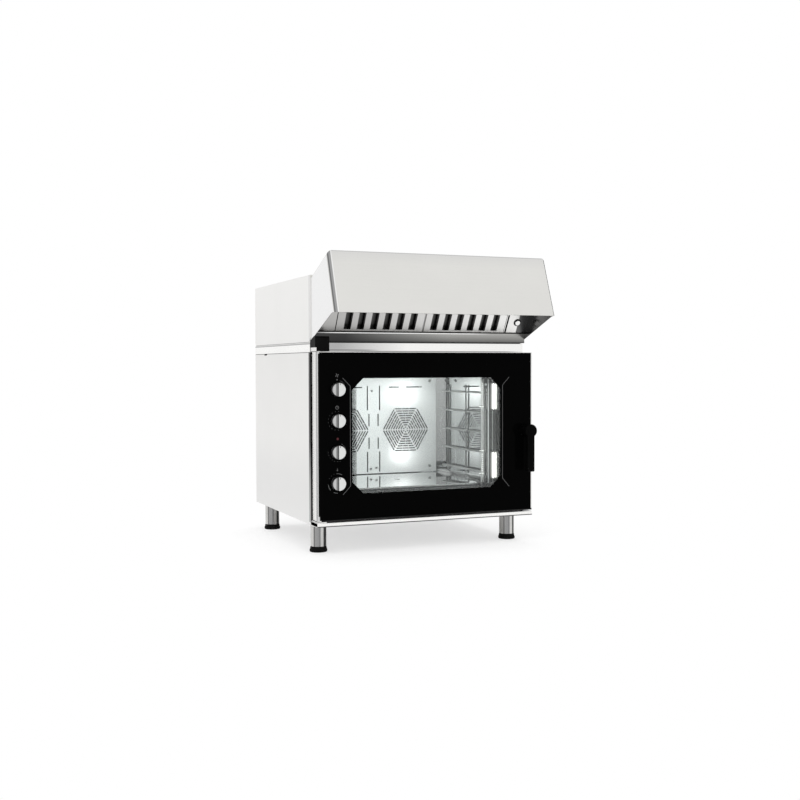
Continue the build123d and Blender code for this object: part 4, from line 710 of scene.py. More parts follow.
FINISHES = {
    finish.name: finish
    for finish in (
        Metal("side_steel", (0.87, 0.865, 0.85), 0.34, DEPTHWISE, 0.1, 0.05, 0.02, painted_light=PAINTED_LIGHT_TABLE["side"]),
        Metal("cover_steel", (0.9, 0.895, 0.88), 0.3, DEPTHWISE, 0.1, 0.05, 0.02, painted_light=PAINTED_LIGHT_TABLE["hood"]),
        Metal("cover_polish", (0.93, 0.925, 0.91), 0.15, ACROSS, 0.06, 0.04, 0.02, painted_light=PAINTED_LIGHT_TABLE["cover"]),
        Metal("canopy_steel", (0.74, 0.735, 0.71), 0.17, ACROSS, 0.06, 0.04, 0.02, painted_light=PAINTED_LIGHT_TABLE["canopy"]),
        Metal("front_steel", (0.82, 0.815, 0.8), 0.2, ACROSS, 0.1, 0.05, 0.03),
        Metal(
            "frame_steel", (0.8, 0.795, 0.78), 0.25, ACROSS, 0.1, 0.05, 0.03, painted_light=PAINTED_LIGHT_TABLE["front_frame"],
        ),
        Metal("base_steel", (0.93, 0.925, 0.91), 0.18, ACROSS, 0.08, 0.05, 0.02, painted_light=PAINTED_LIGHT_TABLE["base"]),
        # The drip channel's base colour is darker as painted shade and reflection.
        Metal("gutter_steel", (0.45, 0.447, 0.43), 0.22, ACROSS, 0.1, 0.05, 0.04, painted_light=PAINTED_LIGHT_TABLE["gutter"]),
        Metal("door_steel", (0.82, 0.815, 0.8), 0.25, UPRIGHT, 0.08, 0.04, 0.03, painted_light=PAINTED_LIGHT_TABLE["door"]),
        Metal("filter_steel", (0.94, 0.935, 0.92), 0.3, UPRIGHT, 0.1, 0.05, 0.05, painted_light=PAINTED_LIGHT_TABLE["filter"]),
        Metal(
            "chamber_steel", (0.86, 0.865, 0.86), 0.03, DEPTHWISE, 0.02, 0.008, 0.03,
            painted_light=PAINTED_LIGHT_TABLE["chamber"],
        ),
        Metal(
            "deflector_steel", (0.9, 0.915, 0.912), 0.26, EVEN, 0.05, 0.01, 0.015,
            metallic=0.6, painted_light=PAINTED_LIGHT_TABLE["deflector"],
        ),
        Metal("lamp_trim", (0.93, 0.93, 0.925), 0.35, EVEN, 0.05, 0.01, 0.01, metallic=0.6),
        # Painted shade: the dark rims round the deflector's slots.
        Moulded("slot_dark", (0.03, 0.031, 0.031), 0.6, 900.0, 0.05, specular=0.05),
        Metal("channel_steel", (0.7, 0.7, 0.69), 0.25, UPRIGHT, 0.08, 0.02, 0.03),
        Metal("dim_mirror", (0.12, 0.122, 0.12), 0.12, UPRIGHT, 0.06, 0.03, 0.15),
        Metal("turned_steel", (0.66, 0.655, 0.64), 0.12, UPRIGHT, 0.06, 0.03, 0.04),
        Metal("leg_steel", (0.6, 0.595, 0.58), 0.22, UPRIGHT, 0.08, 0.04, 0.04, painted_light=PAINTED_LIGHT_TABLE["leg"]),
        Metal("wire_steel", (0.4, 0.4, 0.395), 0.34, EVEN, 0.06, 0.03, 0.03),
        # Dark steel for the heaters and fans behind the deflector, with painted shade.
        Metal("soot_steel", (0.06, 0.06, 0.058), 0.4, EVEN, 0.1, 0.05, 0.1, painted_light=PAINTED_LIGHT_TABLE["behind_deflector_shade"]),
        Metal("zinc_sheet", (0.62, 0.64, 0.65), 0.42, (40.0, 40.0, 40.0), 0.2, 0.04, 0.12),
        Metal("chrome", (0.88, 0.88, 0.87), 0.08, EVEN, 0.03, 0.01, 0.01),
        Metal("knob_chrome", (0.77, 0.78, 0.77), 0.36, EVEN, 0.06, 0.02, 0.02, painted_light=PAINTED_LIGHT_TABLE["knob"]),
        Metal("brass", (0.72, 0.56, 0.28), 0.3, EVEN, 0.1, 0.05, 0.05),
        Moulded("cast_motor", (0.1, 0.105, 0.11), 0.45, 500.0, 0.2, metallic=0.3),
        Moulded("black_plastic", (0.004, 0.004, 0.004), 0.4, 900.0, 0.1, specular=0.025),
        Moulded("handle_plastic", (0.0008, 0.0008, 0.0008), 0.28, 1200.0, 0.06, specular=0.015),
        Moulded("rubber", (0.005, 0.005, 0.005), 0.55, 700.0, 0.2, specular=0.03),
        Moulded("seal", (0.02, 0.02, 0.022), 0.55, 800.0, 0.15),
        Moulded("grey_plastic", (0.32, 0.33, 0.34), 0.4),
        Moulded("print_grey", (0.12, 0.122, 0.122), 0.5, 500.0, 0.0, specular=0.1),
        Moulded("print_dim", (0.09, 0.09, 0.09), 0.5, 500.0, 0.0, specular=0.1),
        Moulded("print_red", (0.07, 0.018, 0.022), 0.4, 500.0, 0.0, specular=0.1),
        Wool("wool", (0.42, 0.36, 0.2)),
        # The lamps' light is painted dimmer on their sides behind the front, as painted shade.
        Glow("lamp_glow", (1.0, 0.99, 0.96), 3.0, (deep(-36.5, 0.0, 1.0),)),
        # Painted light: the glow of the vent slots beside the lamps.
        Glow("slot_glow", (1.0, 1.0, 0.98), 1.1),
        ClearPane("inner_pane", (0.985, 0.99, 0.99), 0.02),
        PrintedPane("outer_pane", (-0.314, 0.229), (0.309, 0.66), 0.045, 0.018, 0.0042),
    )
}

NODE_FINISH = {
    "side_steel": ("side_panel_left", "side_panel_right", "rear_panel"),
    "cover_steel": ("hood_housing",),
    "cover_polish": ("top_cover",),
    "canopy_steel": ("canopy",),
    "front_steel": ("hinge_bracket_bottom", "hinge_bracket_top"),
    "frame_steel": ("front_frame",),
    "base_steel": ("base_frame",),
    "gutter_steel": ("drip_channel",),
    "door_steel": ("door_frame", "control_carrier"),
    "channel_steel": ("lamp_channel",),
    "filter_steel": ("filter_frame", "filter_left", "filter_right"),
    "chamber_steel": ("chamber", "door_strike"),
    "deflector_steel": ("fan_deflector",),
    "leg_steel": ("leg_tubes",),
    "turned_steel": ("handle_spindle", "drain_pipe", "steam_vent", "exhaust_spigot"),
    "wire_steel": ("rack_left", "rack_right"),
    "soot_steel": ("ring_heater_left", "ring_heater_right", "chamber_fan_left", "chamber_fan_right"),
    "zinc_sheet": ("hood_scroll", "hood_fan"),
    "chrome": ("knob_1", "knob_2", "knob_3", "knob_4", "hood_button"),
    "brass": ("water_valve", "handle_bearing"),
    "cast_motor": ("fan_motor_left", "fan_motor_right", "hood_motor"),
    "black_plastic": ("hinge_cover", "hinge_bushes", "cable_gland", "control_switches", "hood_switch"),
    "handle_plastic": ("handle_lever",),
    "rubber": ("foot_front_left", "foot_rear_left", "foot_front_right", "foot_rear_right"),
    "seal": ("door_gasket",),
    "grey_plastic": ("electrical_parts",),
    "wool": ("insulation",),
    "lamp_glow": ("door_lamps",),
    "print_dim": ("pilot_lamps",),
    "inner_pane": ("door_inner_glass",),
    "outer_pane": ("door_outer_glass",),
}

SLOT_OF_FINISH = {
    "chrome": "knob_chrome",
    "knob_chrome": "knob_chrome",
    "handle_plastic": "handle_black",
    "rubber": "black_plastic",
    "black_plastic": "black_plastic",
    "lamp_glow": "lamp_glass",
    "seal": "silicone_seal",
    "print_grey": "printed_glass",
    "print_dim": "printed_glass",
    "print_red": "printed_glass",
}


class Palette:
    """Makes each finish once and hands it out."""

    def __init__(self) -> None:
        """Start with no finish made."""
        self.made: Dict[str, bpy.types.Material] = {}

    def get(self, name: str) -> bpy.types.Material:
        """Give a finish's material, made on first use."""
        if name not in self.made:
            self.made[name] = FINISHES[name].build()
        return self.made[name]

    def dress_nodes(self) -> None:
        """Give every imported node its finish."""
        for finish, nodes in NODE_FINISH.items():
            for node in nodes:
                mesh = frame["nodes"][node].data
                mesh.materials.clear()
                mesh.materials.append(self.get(finish))


PALETTE = Palette()


# Mesh helpers


def to_object(bm: bmesh.types.BMesh, name: str) -> bpy.types.Object:
    """Turn a filled mesh into an object of its own and free it.

    Args:
        bm: Mesh to turn, which is freed.
        name: Name of the object and of its mesh.

    Returns:
        The object, not yet in the scene.
    """
    mesh = bpy.data.meshes.new(name)
    bm.to_mesh(mesh)
    bm.free()
    return bpy.data.objects.new(name, mesh)


def spin(
    part: bmesh.types.BMesh,
    geom: Sequence[object],
    axis: Point,
    angle: float,
    steps: int,
    centre: Sequence[float] = (0, 0, 0),
    close: bool = False,
) -> List[object]:
    """Spin geometry about an axis.

    Args:
        part: Mesh that holds it.
        geom: What to spin.
        axis: Direction of the axis.
        angle: Angle in radians.
        steps: Number of steps.
        centre: A point of the axis.
        close: Whether the last step is joined to the first.

    Returns:
        What the last step made.
    """
    return bmesh.ops.spin(
        part,
        geom=geom,
        cent=centre,
        axis=axis,
        dvec=(0, 0, 0),
        angle=angle,
        steps=steps,
        use_merge=close,
        use_duplicate=False,
    )["geom_last"]


def add_piece(
    name: str,
    build: Callable[[bmesh.types.BMesh], None],
    finish: str,
    body: Body,
    smooth_angle: float = 35.0,
) -> bpy.types.Object:
    """Build a mesh piece in the row frame and let it ride on a body.

    Args:
        name: Name of the piece.
        build: Function that fills the mesh.
        finish: Name of the finish.
        body: Body to ride on.
        smooth_angle: Edges sharper than this many degrees stay sharp.

    Returns:
        The new object.
    """
    bm = bmesh.new()
    build(bm)
    bmesh.ops.remove_doubles(bm, verts=bm.verts, dist=1e-6)
    bmesh.ops.recalc_face_normals(bm, faces=bm.faces)
    made = to_object(bm, name)
    made.data.shade_smooth()
    made.data.set_sharp_from_angle(angle=math.radians(smooth_angle))
    made.data.materials.append(PALETTE.get(finish))
    bpy.context.scene.collection.objects.link(made)
    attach(made, body.value)
    SLOT_OF_FINISH.get(finish, "stainless_steel")
    return made


def frame_of(origin: Vector, axis: Vector) -> Matrix:
    """Give the matrix that puts local Z along an axis at an origin."""
    return Matrix.Translation(origin) @ axis.to_track_quat("Z", "Y").to_matrix().to_4x4()


def merge(bm: bmesh.types.BMesh, part: bmesh.types.BMesh, turn: Optional[Matrix] = None) -> None:
    """Move a finished part into a mesh, turned by a matrix.

    Args:
        bm: Mesh that receives the part.
        part: Part to move, which is freed.
        turn: Matrix that places the part.
    """
    if turn is not None:
        part.transform(turn)
    carrier = bpy.data.meshes.new("carrier")
    part.to_mesh(carrier)
    part.free()
    bm.from_mesh(carrier)
    bpy.data.meshes.remove(carrier)


def add_lathe(
    bm: bmesh.types.BMesh,
    profile: Sequence[Tuple[float, float]],
    origin: Vector,
    axis: Vector,
    steps: int = 48,
) -> None:
    """Spin a profile about an axis.

    Args:
        bm: Mesh to fill.
        profile: Pairs of radius and height in millimetres.
        origin: Where height 0 lies, in metres.
        axis: Way that heights grow.
        steps: Steps of the full turn.
    """
    part = bmesh.new()
    verts = [part.verts.new((radius / 1000.0, 0.0, height / 1000.0)) for radius, height in profile]
    edges = [part.edges.new(pair) for pair in zip(verts, verts[1:])]
    spin(part, verts + edges, (0, 0, 1), math.tau, steps, close=True)
    bmesh.ops.remove_doubles(part, verts=part.verts, dist=1e-7)
    bmesh.ops.recalc_face_normals(part, faces=part.faces)
    merge(bm, part, frame_of(origin, axis))


def add_block(
    bm: bmesh.types.BMesh,
    low: Vector,
    high: Vector,
    radius: float = 0.0,
    segments: int = 3,
    turn: Optional[Matrix] = None,
) -> None:
    """Add a box between two corners with rounded edges.

    Args:
        bm: Mesh to fill.
        low: Lowest corner in metres.
        high: Highest corner in metres.
        radius: Radius of the edges in millimetres.
        segments: Segments of the rounding.
        turn: Matrix applied to the finished box.
    """
    part = bmesh.new()
    bmesh.ops.create_cube(part, size=1.0)
    bmesh.ops.scale(part, vec=high - low, verts=part.verts)
    bmesh.ops.translate(part, vec=(low + high) / 2, verts=part.verts)
    if radius > 0:
        bmesh.ops.bevel(
            part,
            geom=part.edges,
            offset=radius / 1000.0,
            segments=segments,
            profile=0.5,
            affect="EDGES",
            material=-1,
        )
    merge(bm, part, turn)


def add_bar(
    bm: bmesh.types.BMesh,
    start: Tuple[float, float],
    end: Tuple[float, float],
    width: float,
    depth: float,
    thick: float,
) -> None:
    """Add a flat printed bar between two points of (x, height) in millimetres, on an upright plane.

    Args:
        bm: Mesh to fill.
        start: First end of the bar's middle.
        end: Other end of the bar's middle.
        width: Width of the bar in millimetres.
        depth: Depth of the plane that the bar lies on.
        thick: How far the bar stands forward, in millimetres.
    """
    way = Vector(end) - Vector(start)
    reach = (way.length + width * 0.4) / 2000.0
    low = Vector((-reach, -thick / 1000.0, -width / 2000.0))
    high = Vector((reach, 0.0, width / 2000.0))
    middle = (Vector(start) + Vector(end)) / 2
    slope = Matrix.Rotation(-math.atan2(way.y, way.x), 4, "Y")
    add_block(bm, low, high, turn=Matrix.Translation(place(middle.x, depth, middle.y)) @ slope)


def add_disc(
    bm: bmesh.types.BMesh, x: float, height: float, outer: float, inner: float, depth: float, thick: float
) -> None:
    """Add a printed disc or ring on an upright plane.

    Args:
        bm: Mesh to fill.
        x: Middle of the disc in millimetres.
        height: Height of the disc's middle in millimetres.
        outer: Outer radius in millimetres.
        inner: Inner radius in millimetres, 0 for a full disc.
        depth: Depth of the plane that the disc lies on.
        thick: How far the disc stands forward, in millimetres.
    """
    profile = [(inner, 0.0), (outer, 0.0), (outer, thick), (inner, thick)]
    if inner > 0:
        profile.append((inner, 0.0))
    add_lathe(bm, profile, place(x, depth, height), AHEAD, 28)


def add_arc(
    bm: bmesh.types.BMesh,
    centre: Tuple[float, float],
    radius: float,
    angles: Tuple[float, float],
    width: float,
    depth: float,
    thick: float,
) -> None:
    """Add a flat printed arc about a centre of (x, height), by spinning its cross-section.

    Args:
        bm: Mesh to fill.
        centre: Centre in millimetres.
        radius: Radius of the arc's middle in millimetres.
        angles: First and last angle in degrees, counted from the right.
        width: Width of the arc in millimetres.
        depth: Depth of the plane that the arc lies on.
        thick: How far the arc stands forward, in millimetres.
    """
    part = bmesh.new()
    bmesh.ops.create_grid(part, x_segments=1, y_segments=1, size=0.5)
    bmesh.ops.scale(part, vec=(width / 1000.0, thick / 1000.0, 1.0), verts=part.verts)
    bmesh.ops.translate(part, vec=(radius / 1000.0, -thick / 2000.0, 0.0), verts=part.verts)
    turn = Matrix.Rotation(-math.radians(angles[0]), 4, "Y")
    bmesh.ops.transform(part, matrix=turn, verts=part.verts)
    sweep = angles[1] - angles[0]
    spin(part, list(part.faces), (0, -1, 0), math.radians(sweep), max(4, int(abs(sweep) / 5)))
    merge(bm, part, Matrix.Translation(place(centre[0], depth, centre[1])))


# Assemblies


@dataclass
class KnobSet:
    """The four control knobs: turned discs with a scoop on each side of the grip bar."""

    x: float = KNOB_X
    heights: Tuple[float, ...] = KNOB_HEIGHTS
    face: float = -80.3
    radius: float = 26.0
    height: float = 26.0
    skirts: Tuple[float, float] = (20.5, 23.4)
    grip: float = 13.0
    scoop: float = 21.84

    def blank(self) -> bpy.types.Object:
        """Turn the knob's blank with the hub, with rounded rims."""
        radius, height = self.radius, self.height
        profile = [
            (0.0, -30.0),
            (5.0, -30.0),
            (5.0, 0.0),
            (radius - 1.2, 0.0),
            (radius - 0.4, 0.4),
            (radius, 1.2),
            (radius, 5.4),
            (radius - 0.5, 6.2),
            (radius - 0.5, height - 3.0),
            (radius - 1.0, height - 1.4),
            (radius - 2.2, height - 0.4),
            (radius - 3.6, height),
            (0.0, height),
        ]
        bm = bmesh.new()
        add_lathe(bm, profile, Vector((0, 0, 0)), UP, 96)
        bmesh.ops.recalc_face_normals(bm, faces=bm.faces)
        return to_object(bm, "knob_blank")

    def cutter(self, hand: int) -> bpy.types.Object:
        """Make the ball that scoops out one side.

        Args:
            hand: -1 for the left side and 1 for the right side.

        Returns:
            The ball, not yet in the scene.
        """
        bm = bmesh.new()
        skirt = self.skirts[hand > 0]
        centre = Vector(((self.grip / 2 + self.scoop) * hand, 0, skirt + self.scoop)) / 1000.0
        bmesh.ops.create_uvsphere(
            bm, u_segments=64, v_segments=40, radius=self.scoop / 1000.0, matrix=Matrix.Translation(centre)
        )
        return to_object(bm, "knob_cutter")

    def shaped(self) -> bpy.types.Mesh:
        """Cut both scoops and break the new edges."""
        blank = self.blank()
        cutters = [self.cutter(hand) for hand in (-1, 1)]
        for item in (blank, *cutters):
            bpy.context.scene.collection.objects.link(item)
        for cutter in cutters:
            cut = blank.modifiers.new("scoop", "BOOLEAN")
            cut.operation = "DIFFERENCE"
            cut.solver = "EXACT"
            cut.object = cutter
        edge = blank.modifiers.new("edge", "BEVEL")
        edge.width = 0.0006
        edge.segments = 2
        edge.limit_method = "ANGLE"
        edge.angle_limit = math.radians(40)
        graph = bpy.context.evaluated_depsgraph_get()
        mesh = bpy.data.meshes.new_from_object(blank.evaluated_get(graph))
        for item in (blank, *cutters):
            bpy.data.objects.remove(item)
        return mesh

    def build(self) -> List[bpy.types.Object]:
        """Place the four knobs and their marks."""
        made: List[bpy.types.Object] = []
        shape = self.shaped()
        for index, height in enumerate(self.heights, start=1):
            turn = frame_of(place(self.x, self.face, height), AHEAD)
            if (turn @ Vector((0, 1, 0))).z < turn.translation.z:
                turn = turn @ Matrix.Rotation(math.pi, 4, "Z")
            turned = partial(self.turned, shape=shape, turn=turn)
            knob = add_piece(f"knob_{index}_turned", turned, "knob_chrome", Body.DOOR, 40)
            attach(knob, f"dial_{index}")
            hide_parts(f"knob_{index}")
            mark = partial(self.mark, height=height)
            line = add_piece(f"knob_{index}_mark", mark, "black_plastic", Body.DOOR)
            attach(line, f"dial_{index}")
            made += [knob, line]
        return made

    def turned(self, bm: bmesh.types.BMesh, shape: bpy.types.Mesh, turn: Matrix) -> None:
        """Add the cut knob at its place.

        Args:
            bm: Mesh to fill.
            shape: The knob with its hub along Z.
            turn: Matrix that places it.
        """
        bm.from_mesh(shape)
        bmesh.ops.transform(bm, matrix=turn, verts=bm.verts)

    def mark(self, bm: bmesh.types.BMesh, height: float) -> None:
        """Add the dark line across the grip and the short one beside its top.

        Args:
            bm: Mesh to fill.
            height: Height of the knob's middle in millimetres.
        """
        front = self.face - self.height
        low, high = height - self.radius, height + self.radius
        strokes = ((-5.4, -2.6, low + 1.5, high - 1.5), (1.8, 3.8, high - 9.0, high - 2.5))
        for left, right, start, end in strokes:
            corner = place(self.x + left, front - 0.25, start)
            add_block(bm, corner, place(self.x + right, front + 0.6, end), 0.2, 2)


@dataclass
class DoorPrint:
    """Lines, pictograms and dial marks on the outer pane."""

    depth: float = -80.02
    thick: float = 0.12
    line: float = 1.5

    def build(self) -> List[bpy.types.Object]:
        """Make all printed marks."""
        return [
            add_piece("door_print_lines", self.lines, "print_grey", Body.DOOR),
            add_piece("door_print_marks", self.marks, "print_grey", Body.DOOR),
            add_piece("door_print_symbols", self.symbols, "print_dim", Body.DOOR),
            add_piece("door_print_red", self.red, "print_red", Body.DOOR),
        ]

    def bars(self, bm: bmesh.types.BMesh, points: Sequence[Tuple[float, float]], width: float) -> None:
        """Draw bars from point to point."""
        for start, end in zip(points, points[1:]):
            add_bar(bm, start, end, width, self.depth, self.thick)

    def lines(self, bm: bmesh.types.BMesh) -> None:
        """Draw the thin frames at the window's left and right."""
        left = [(-350.0, 661.0), (-320.5, 631.5), (-320.5, 259.0), (-350.0, 227.5)]
        right = [(345.5, 660.7), (316.5, 629.5), (316.5, 262.5), (345.5, 229.5)]
        self.bars(bm, left, self.line)
        self.bars(bm, right, self.line)

    def dots(
        self, bm: bmesh.types.BMesh, knob: float, radius: float, angles: Iterable[float], size: float
    ) -> None:
        """Put round marks on an arc about a knob.

        Args:
            bm: Mesh to fill.
            knob: Height of the knob in millimetres.
            radius: Radius of the arc in millimetres.
            angles: Angles of the marks in degrees, counted from the right.
            size: Radius of each mark in millimetres.
        """
        for angle in angles:
            at_x = KNOB_X + radius * math.cos(math.radians(angle))
            at_z = knob + radius * math.sin(math.radians(angle))
            add_disc(bm, at_x, at_z, size, 0.0, self.depth, self.thick)

    def marks(self, bm: bmesh.types.BMesh) -> None:
        """Draw the scales about the knobs."""
        first, second, third, fourth = KNOB_HEIGHTS
        self.dots(bm, second, 35.0, range(80, 301, 22), 1.0)
        self.dots(bm, third, 35.0, range(180, 290, 18), 0.9)
        self.dots(bm, fourth, 37.0, (112, 130, 148), 0.9)
        for knob, radius, angles, width in (
            (third, 34.0, (12, 62), 0.9),
            (first, 34.0, (30, 72), 0.9),
            (fourth, 36.0, (186, 222), 2.0),
            (fourth, 36.0, (246, 272), 1.8),
            (fourth, 36.0, (60, 96), 1.6),
        ):
            add_arc(bm, (KNOB_X, knob), radius, angles, width, self.depth, self.thick)

    def symbols(self, bm: bmesh.types.BMesh) -> None:
        """Draw the pictograms above the knobs: a fan, a clock, a thermometer and a drop."""
        x = KNOB_X
        for angle in (0, 90, 180, 270):
            tip = math.radians(angle)
            start = (x + 2.0 * math.cos(tip), 671.0 + 2.0 * math.sin(tip))
            end = (x + 7.0 * math.cos(tip + 0.5), 671.0 + 7.0 * math.sin(tip + 0.5))
            self.bars(bm, [start, end], 2.6)
        add_disc(bm, x, 655.0, 2.6, 0.0, self.depth, self.thick)
        add_disc(bm, x, 552.0, 7.0, 5.0, self.depth, self.thick)
        self.bars(bm, [(x, 556.0), (x, 552.0), (x + 3.0, 552.0)], 1.2)
        add_disc(bm, x, 319.5, 2.8, 0.0, self.depth, self.thick)
        self.bars(bm, [(x, 326.0), (x, 320.0)], 2.2)

    def red(self, bm: bmesh.types.BMesh) -> None:
        """Draw the lens of the heating lamp."""
        add_disc(bm, KNOB_X + 1.5, 436.0, 4.6, 0.0, self.depth, self.thick)


@dataclass
class HandlePiece:
    """The moulded lever: a turned boss and a flat grip with soft edges."""

    x: float = 416.0
    height: float = 449.0
    rear: float = -80.3
    reach: float = 55.0
    boss_radius: float = 26.0
    width: float = 31.0
    length: float = 161.0
    thick: float = 23.0

    def build(self) -> List[bpy.types.Object]:
        """Make the lever."""
        piece = add_piece("handle_moulding", self.shape, "handle_plastic", Body.HANDLE, 30)
        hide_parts("handle_lever")
        return [piece]

    def shape(self, bm: bmesh.types.BMesh) -> None:
        """Turn the boss and add the grip."""
        front = self.reach - 0.3
        radius = self.boss_radius
        profile = [
            (7.3, 0.0),
            (radius - 1.5, 0.0),
            (radius - 0.4, 0.5),
            (radius, 1.5),
            (radius, front - 4.0),
            (radius - 0.6, front - 2.0),
            (radius - 2.4, front - 0.5),
            (radius - 5.0, front),
            (9.0, front),
            (8.2, front - 0.8),
            (0.0, front - 0.8),
        ]
        add_lathe(bm, profile, place(self.x, self.rear, self.height), AHEAD, 72)
        nose = self.rear - front
        low = place(self.x - self.width / 2, nose + 0.4, self.height - self.length)
        high = place(self.x + self.width / 2, nose + self.thick, self.height - 2.0)
        add_block(bm, low, high, 4.5, 5)


@dataclass
class Feet:
    """The four adjustable feet: a soft pad with grip ribs and a threaded stem."""

    places: Tuple[Tuple[str, float, float], ...] = (
        ("front_left", -404.0, 51.0),
        ("rear_left", -404.0, 689.0),
        ("front_right", 404.0, 51.0),
        ("rear_right", 404.0, 689.0),
    )
    radius: float = 34.0
    height: float = 22.0
    ribs: int = 24
    thread_pitch: float = 1.75
    thread_top: float = 104.0

    def build(self) -> List[bpy.types.Object]:
        """Make each foot's pad and stem."""
        made: List[bpy.types.Object] = []
        for name, x, depth in self.places:
            pad, stem = (partial(shape, x=x, depth=depth) for shape in (self.pad, self.stem))
            foot = add_piece(f"foot_{name}_pad", pad, "rubber", Body.CABINET, 40)
            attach(foot, f"{name}_foot")
            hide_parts(f"foot_{name}")
            screw = add_piece(f"foot_{name}_stem", stem, "turned_steel", Body.CABINET, 25)
            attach(screw, f"{name}_foot")
            made += [foot, screw]
        return made

    def pad(self, bm: bmesh.types.BMesh, x: float, depth: float) -> None:
        """Turn the pad and set ribs round it."""
        radius = self.radius
        profile = [
            (0.0, 0.0),
            (radius - 5.0, 0.0),
            (radius - 2.4, 0.5),
            (radius - 0.8, 2.2),
            (radius - 0.6, 4.0),
            (radius - 0.6, 9.5),
            (radius - 2.0, 13.0),
            (radius - 3.4, 20.0),
            (radius - 4.2, self.height - 0.4),
            (radius - 5.2, self.height),
            (0.0, self.height),
        ]
        add_lathe(bm, profile, place(x, depth, 0), UP, 72)
        for step in range(self.ribs):
            round_pad = Matrix.Rotation(math.tau * step / self.ribs, 4, "Z")
            turn = Matrix.Translation(place(x, depth, 0)) @ round_pad
            low = Vector((radius - 2.2, -1.4, 3.2)) / 1000.0
            high = Vector((radius - 0.1, 1.4, 9.0)) / 1000.0
            add_block(bm, low, high, 0.6, 2, turn)

    def stem(self, bm: bmesh.types.BMesh, x: float, depth: float) -> None:
        """Turn the stem with its thread as a row of crests."""
        profile = [(0.0, self.height - 0.5)]
        level = self.height - 0.5
        while level < self.thread_top:
            profile += [(5.3, level), (5.95, level + 0.6), (5.95, level + 0.9), (5.3, level + 1.5)]
            level += self.thread_pitch
        profile.append((0.0, level))
        add_lathe(bm, profile, place(x, depth, 0), UP, 32)


@dataclass
class Lamps:
    """The two door lamps: frosted tubes in polished trays, and the trim beside them."""

    x: float = 301.0
    lows: Tuple[float, ...] = (256.0, 529.0)
    width: float = 13.0
    length: float = 110.0
    rear: float = -16.2
    depth: float = 24.0
    trim_x: float = 275.5
    span: Tuple[float, float] = (241.0, 652.0)
    vent_pitch: float = 8.2
    vent_rows: Tuple[Tuple[float, float], ...] = ((288.0, 360.0), (553.0, 635.0))
    long_vents: Tuple[float, ...] = (278.0, 368.0, 543.0)

    def build(self) -> List[bpy.types.Object]:
        """Make the lit bodies, their end caps and the trim."""
        lit = add_piece("lamp_bodies", self.bodies, "lamp_glow", Body.DOOR, 50)
        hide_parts("door_lamps")
        return [
            lit,
            add_piece("lamp_caps", self.caps, "wire_steel", Body.DOOR),
            add_piece("lamp_trim", self.trim, "lamp_trim", Body.DOOR),
            add_piece("lamp_reflector", self.reflector, "dim_mirror", Body.DOOR),
            add_piece("lamp_vents", self.vents, "slot_glow", Body.DOOR),
        ]

    def bodies(self, bm: bmesh.types.BMesh) -> None:
        """Add the frosted bodies."""
        for low in self.lows:
            corner = place(self.x - self.width / 2, self.rear - self.depth + 0.5, low + 3.0)
            far = place(self.x + self.width / 2 - 4.0, self.rear - 1.0, low + self.length - 3.0)
            add_block(bm, corner, far, 6.0, 6)

    def caps(self, bm: bmesh.types.BMesh) -> None:
        """Add the end caps that hold the lit bodies."""
        for low in self.lows:
            for start in (low, low + self.length - 4.0):
                corner = place(self.x - self.width / 2 - 1.0, self.rear - self.depth + 2.0, start)
                far = place(self.x + self.width / 2 - 3.0, self.rear, start + 4.0)
                add_block(bm, corner, far, 1.0, 2)

    def trim(self, bm: bmesh.types.BMesh) -> None:
        """Add the bright upright edge at the left of the lamps."""
        corner = place(self.trim_x - 1.3, self.rear - self.depth - 1.0, self.span[0])
        far = place(self.trim_x + 1.3, self.rear - self.depth + 6.0, self.span[1])
        add_block(bm, corner, far, 0.6, 2)

    def vents(self, bm: bmesh.types.BMesh) -> None:
        """Add the rows of vent slots in the channel's flange and the longer slots at their ends, glowing with
        painted light.
        """
        slots = [
            (253.0, 261.0, low + index * self.vent_pitch, 1.7)
            for low, high in self.vent_rows
            for index in range(int((high - low) / self.vent_pitch) + 1)
        ]
        slots += [(245.0, 266.0, height, 1.2) for height in self.long_vents]
        for left, right, height, half in slots:
            corner = place(left, self.rear - 1.6, height - half)
            add_block(bm, corner, place(right, self.rear - 0.6, height + half), 0.2, 1)

    def reflector(self, bm: bmesh.types.BMesh) -> None:
        """Add the polished strip between and behind the lamps."""
        corner = place(self.trim_x + 2.0, self.rear - 1.4, self.span[0])
        far = place(self.x + 1.8, self.rear - 0.6, self.span[1])
        add_block(bm, corner, far, 0.3, 2)


@dataclass
class SlotRims:
    """The pressed rims round the slots of the fan deflector, dark as painted shade in the slots.

    Args:
        rim: Width of the rims in millimetres.
        proud: How far they stand forward of the plate, in millimetres.
        border: Margin of the plate that has no slots, in metres.
        plate: Half the depth in which the slots' walls lie, in metres.
    """

    rim: float = 0.95
    proud: float = 0.25
    border: float = 0.012
    plate: float = 0.004

    def build(self) -> List[bpy.types.Object]:
        """Make the rims of all slots as one piece."""
        return [add_piece("deflector_slot_rims", self.shape, "slot_dark", Body.CABINET)]

    def shape(self, bm: bmesh.types.BMesh) -> None:
        """Keep the walls of the plate's slots and thicken them outwards, a little proud of the plate.

        Args:
            bm: Mesh that takes the rims.
        """
        low, high = (Vector(corner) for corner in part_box("fan_deflector"))
        face_y = place(0, DEFLECTOR_DEPTH, 0).y
        bm.from_mesh(bpy.data.objects["fan_deflector"].data)
        bmesh.ops.remove_doubles(bm, verts=bm.verts, dist=1e-6)
        doomed = []
        for face in bm.faces:
            centre = face.calc_center_bounds()
            inner = all(low[i] + self.border < centre[i] < high[i] - self.border for i in (0, 2))
            if abs(face.normal.y) > 0.5 or not inner or abs(centre.y - face_y) > self.plate:
                doomed.append(face)
        bmesh.ops.delete(bm, geom=doomed, context="FACES")
        bmesh.ops.solidify(bm, geom=bm.faces[:], thickness=self.rim / 1000.0)
        bmesh.ops.translate(bm, vec=(0.0, -self.proud / 1000.0, 0.0), verts=bm.verts)


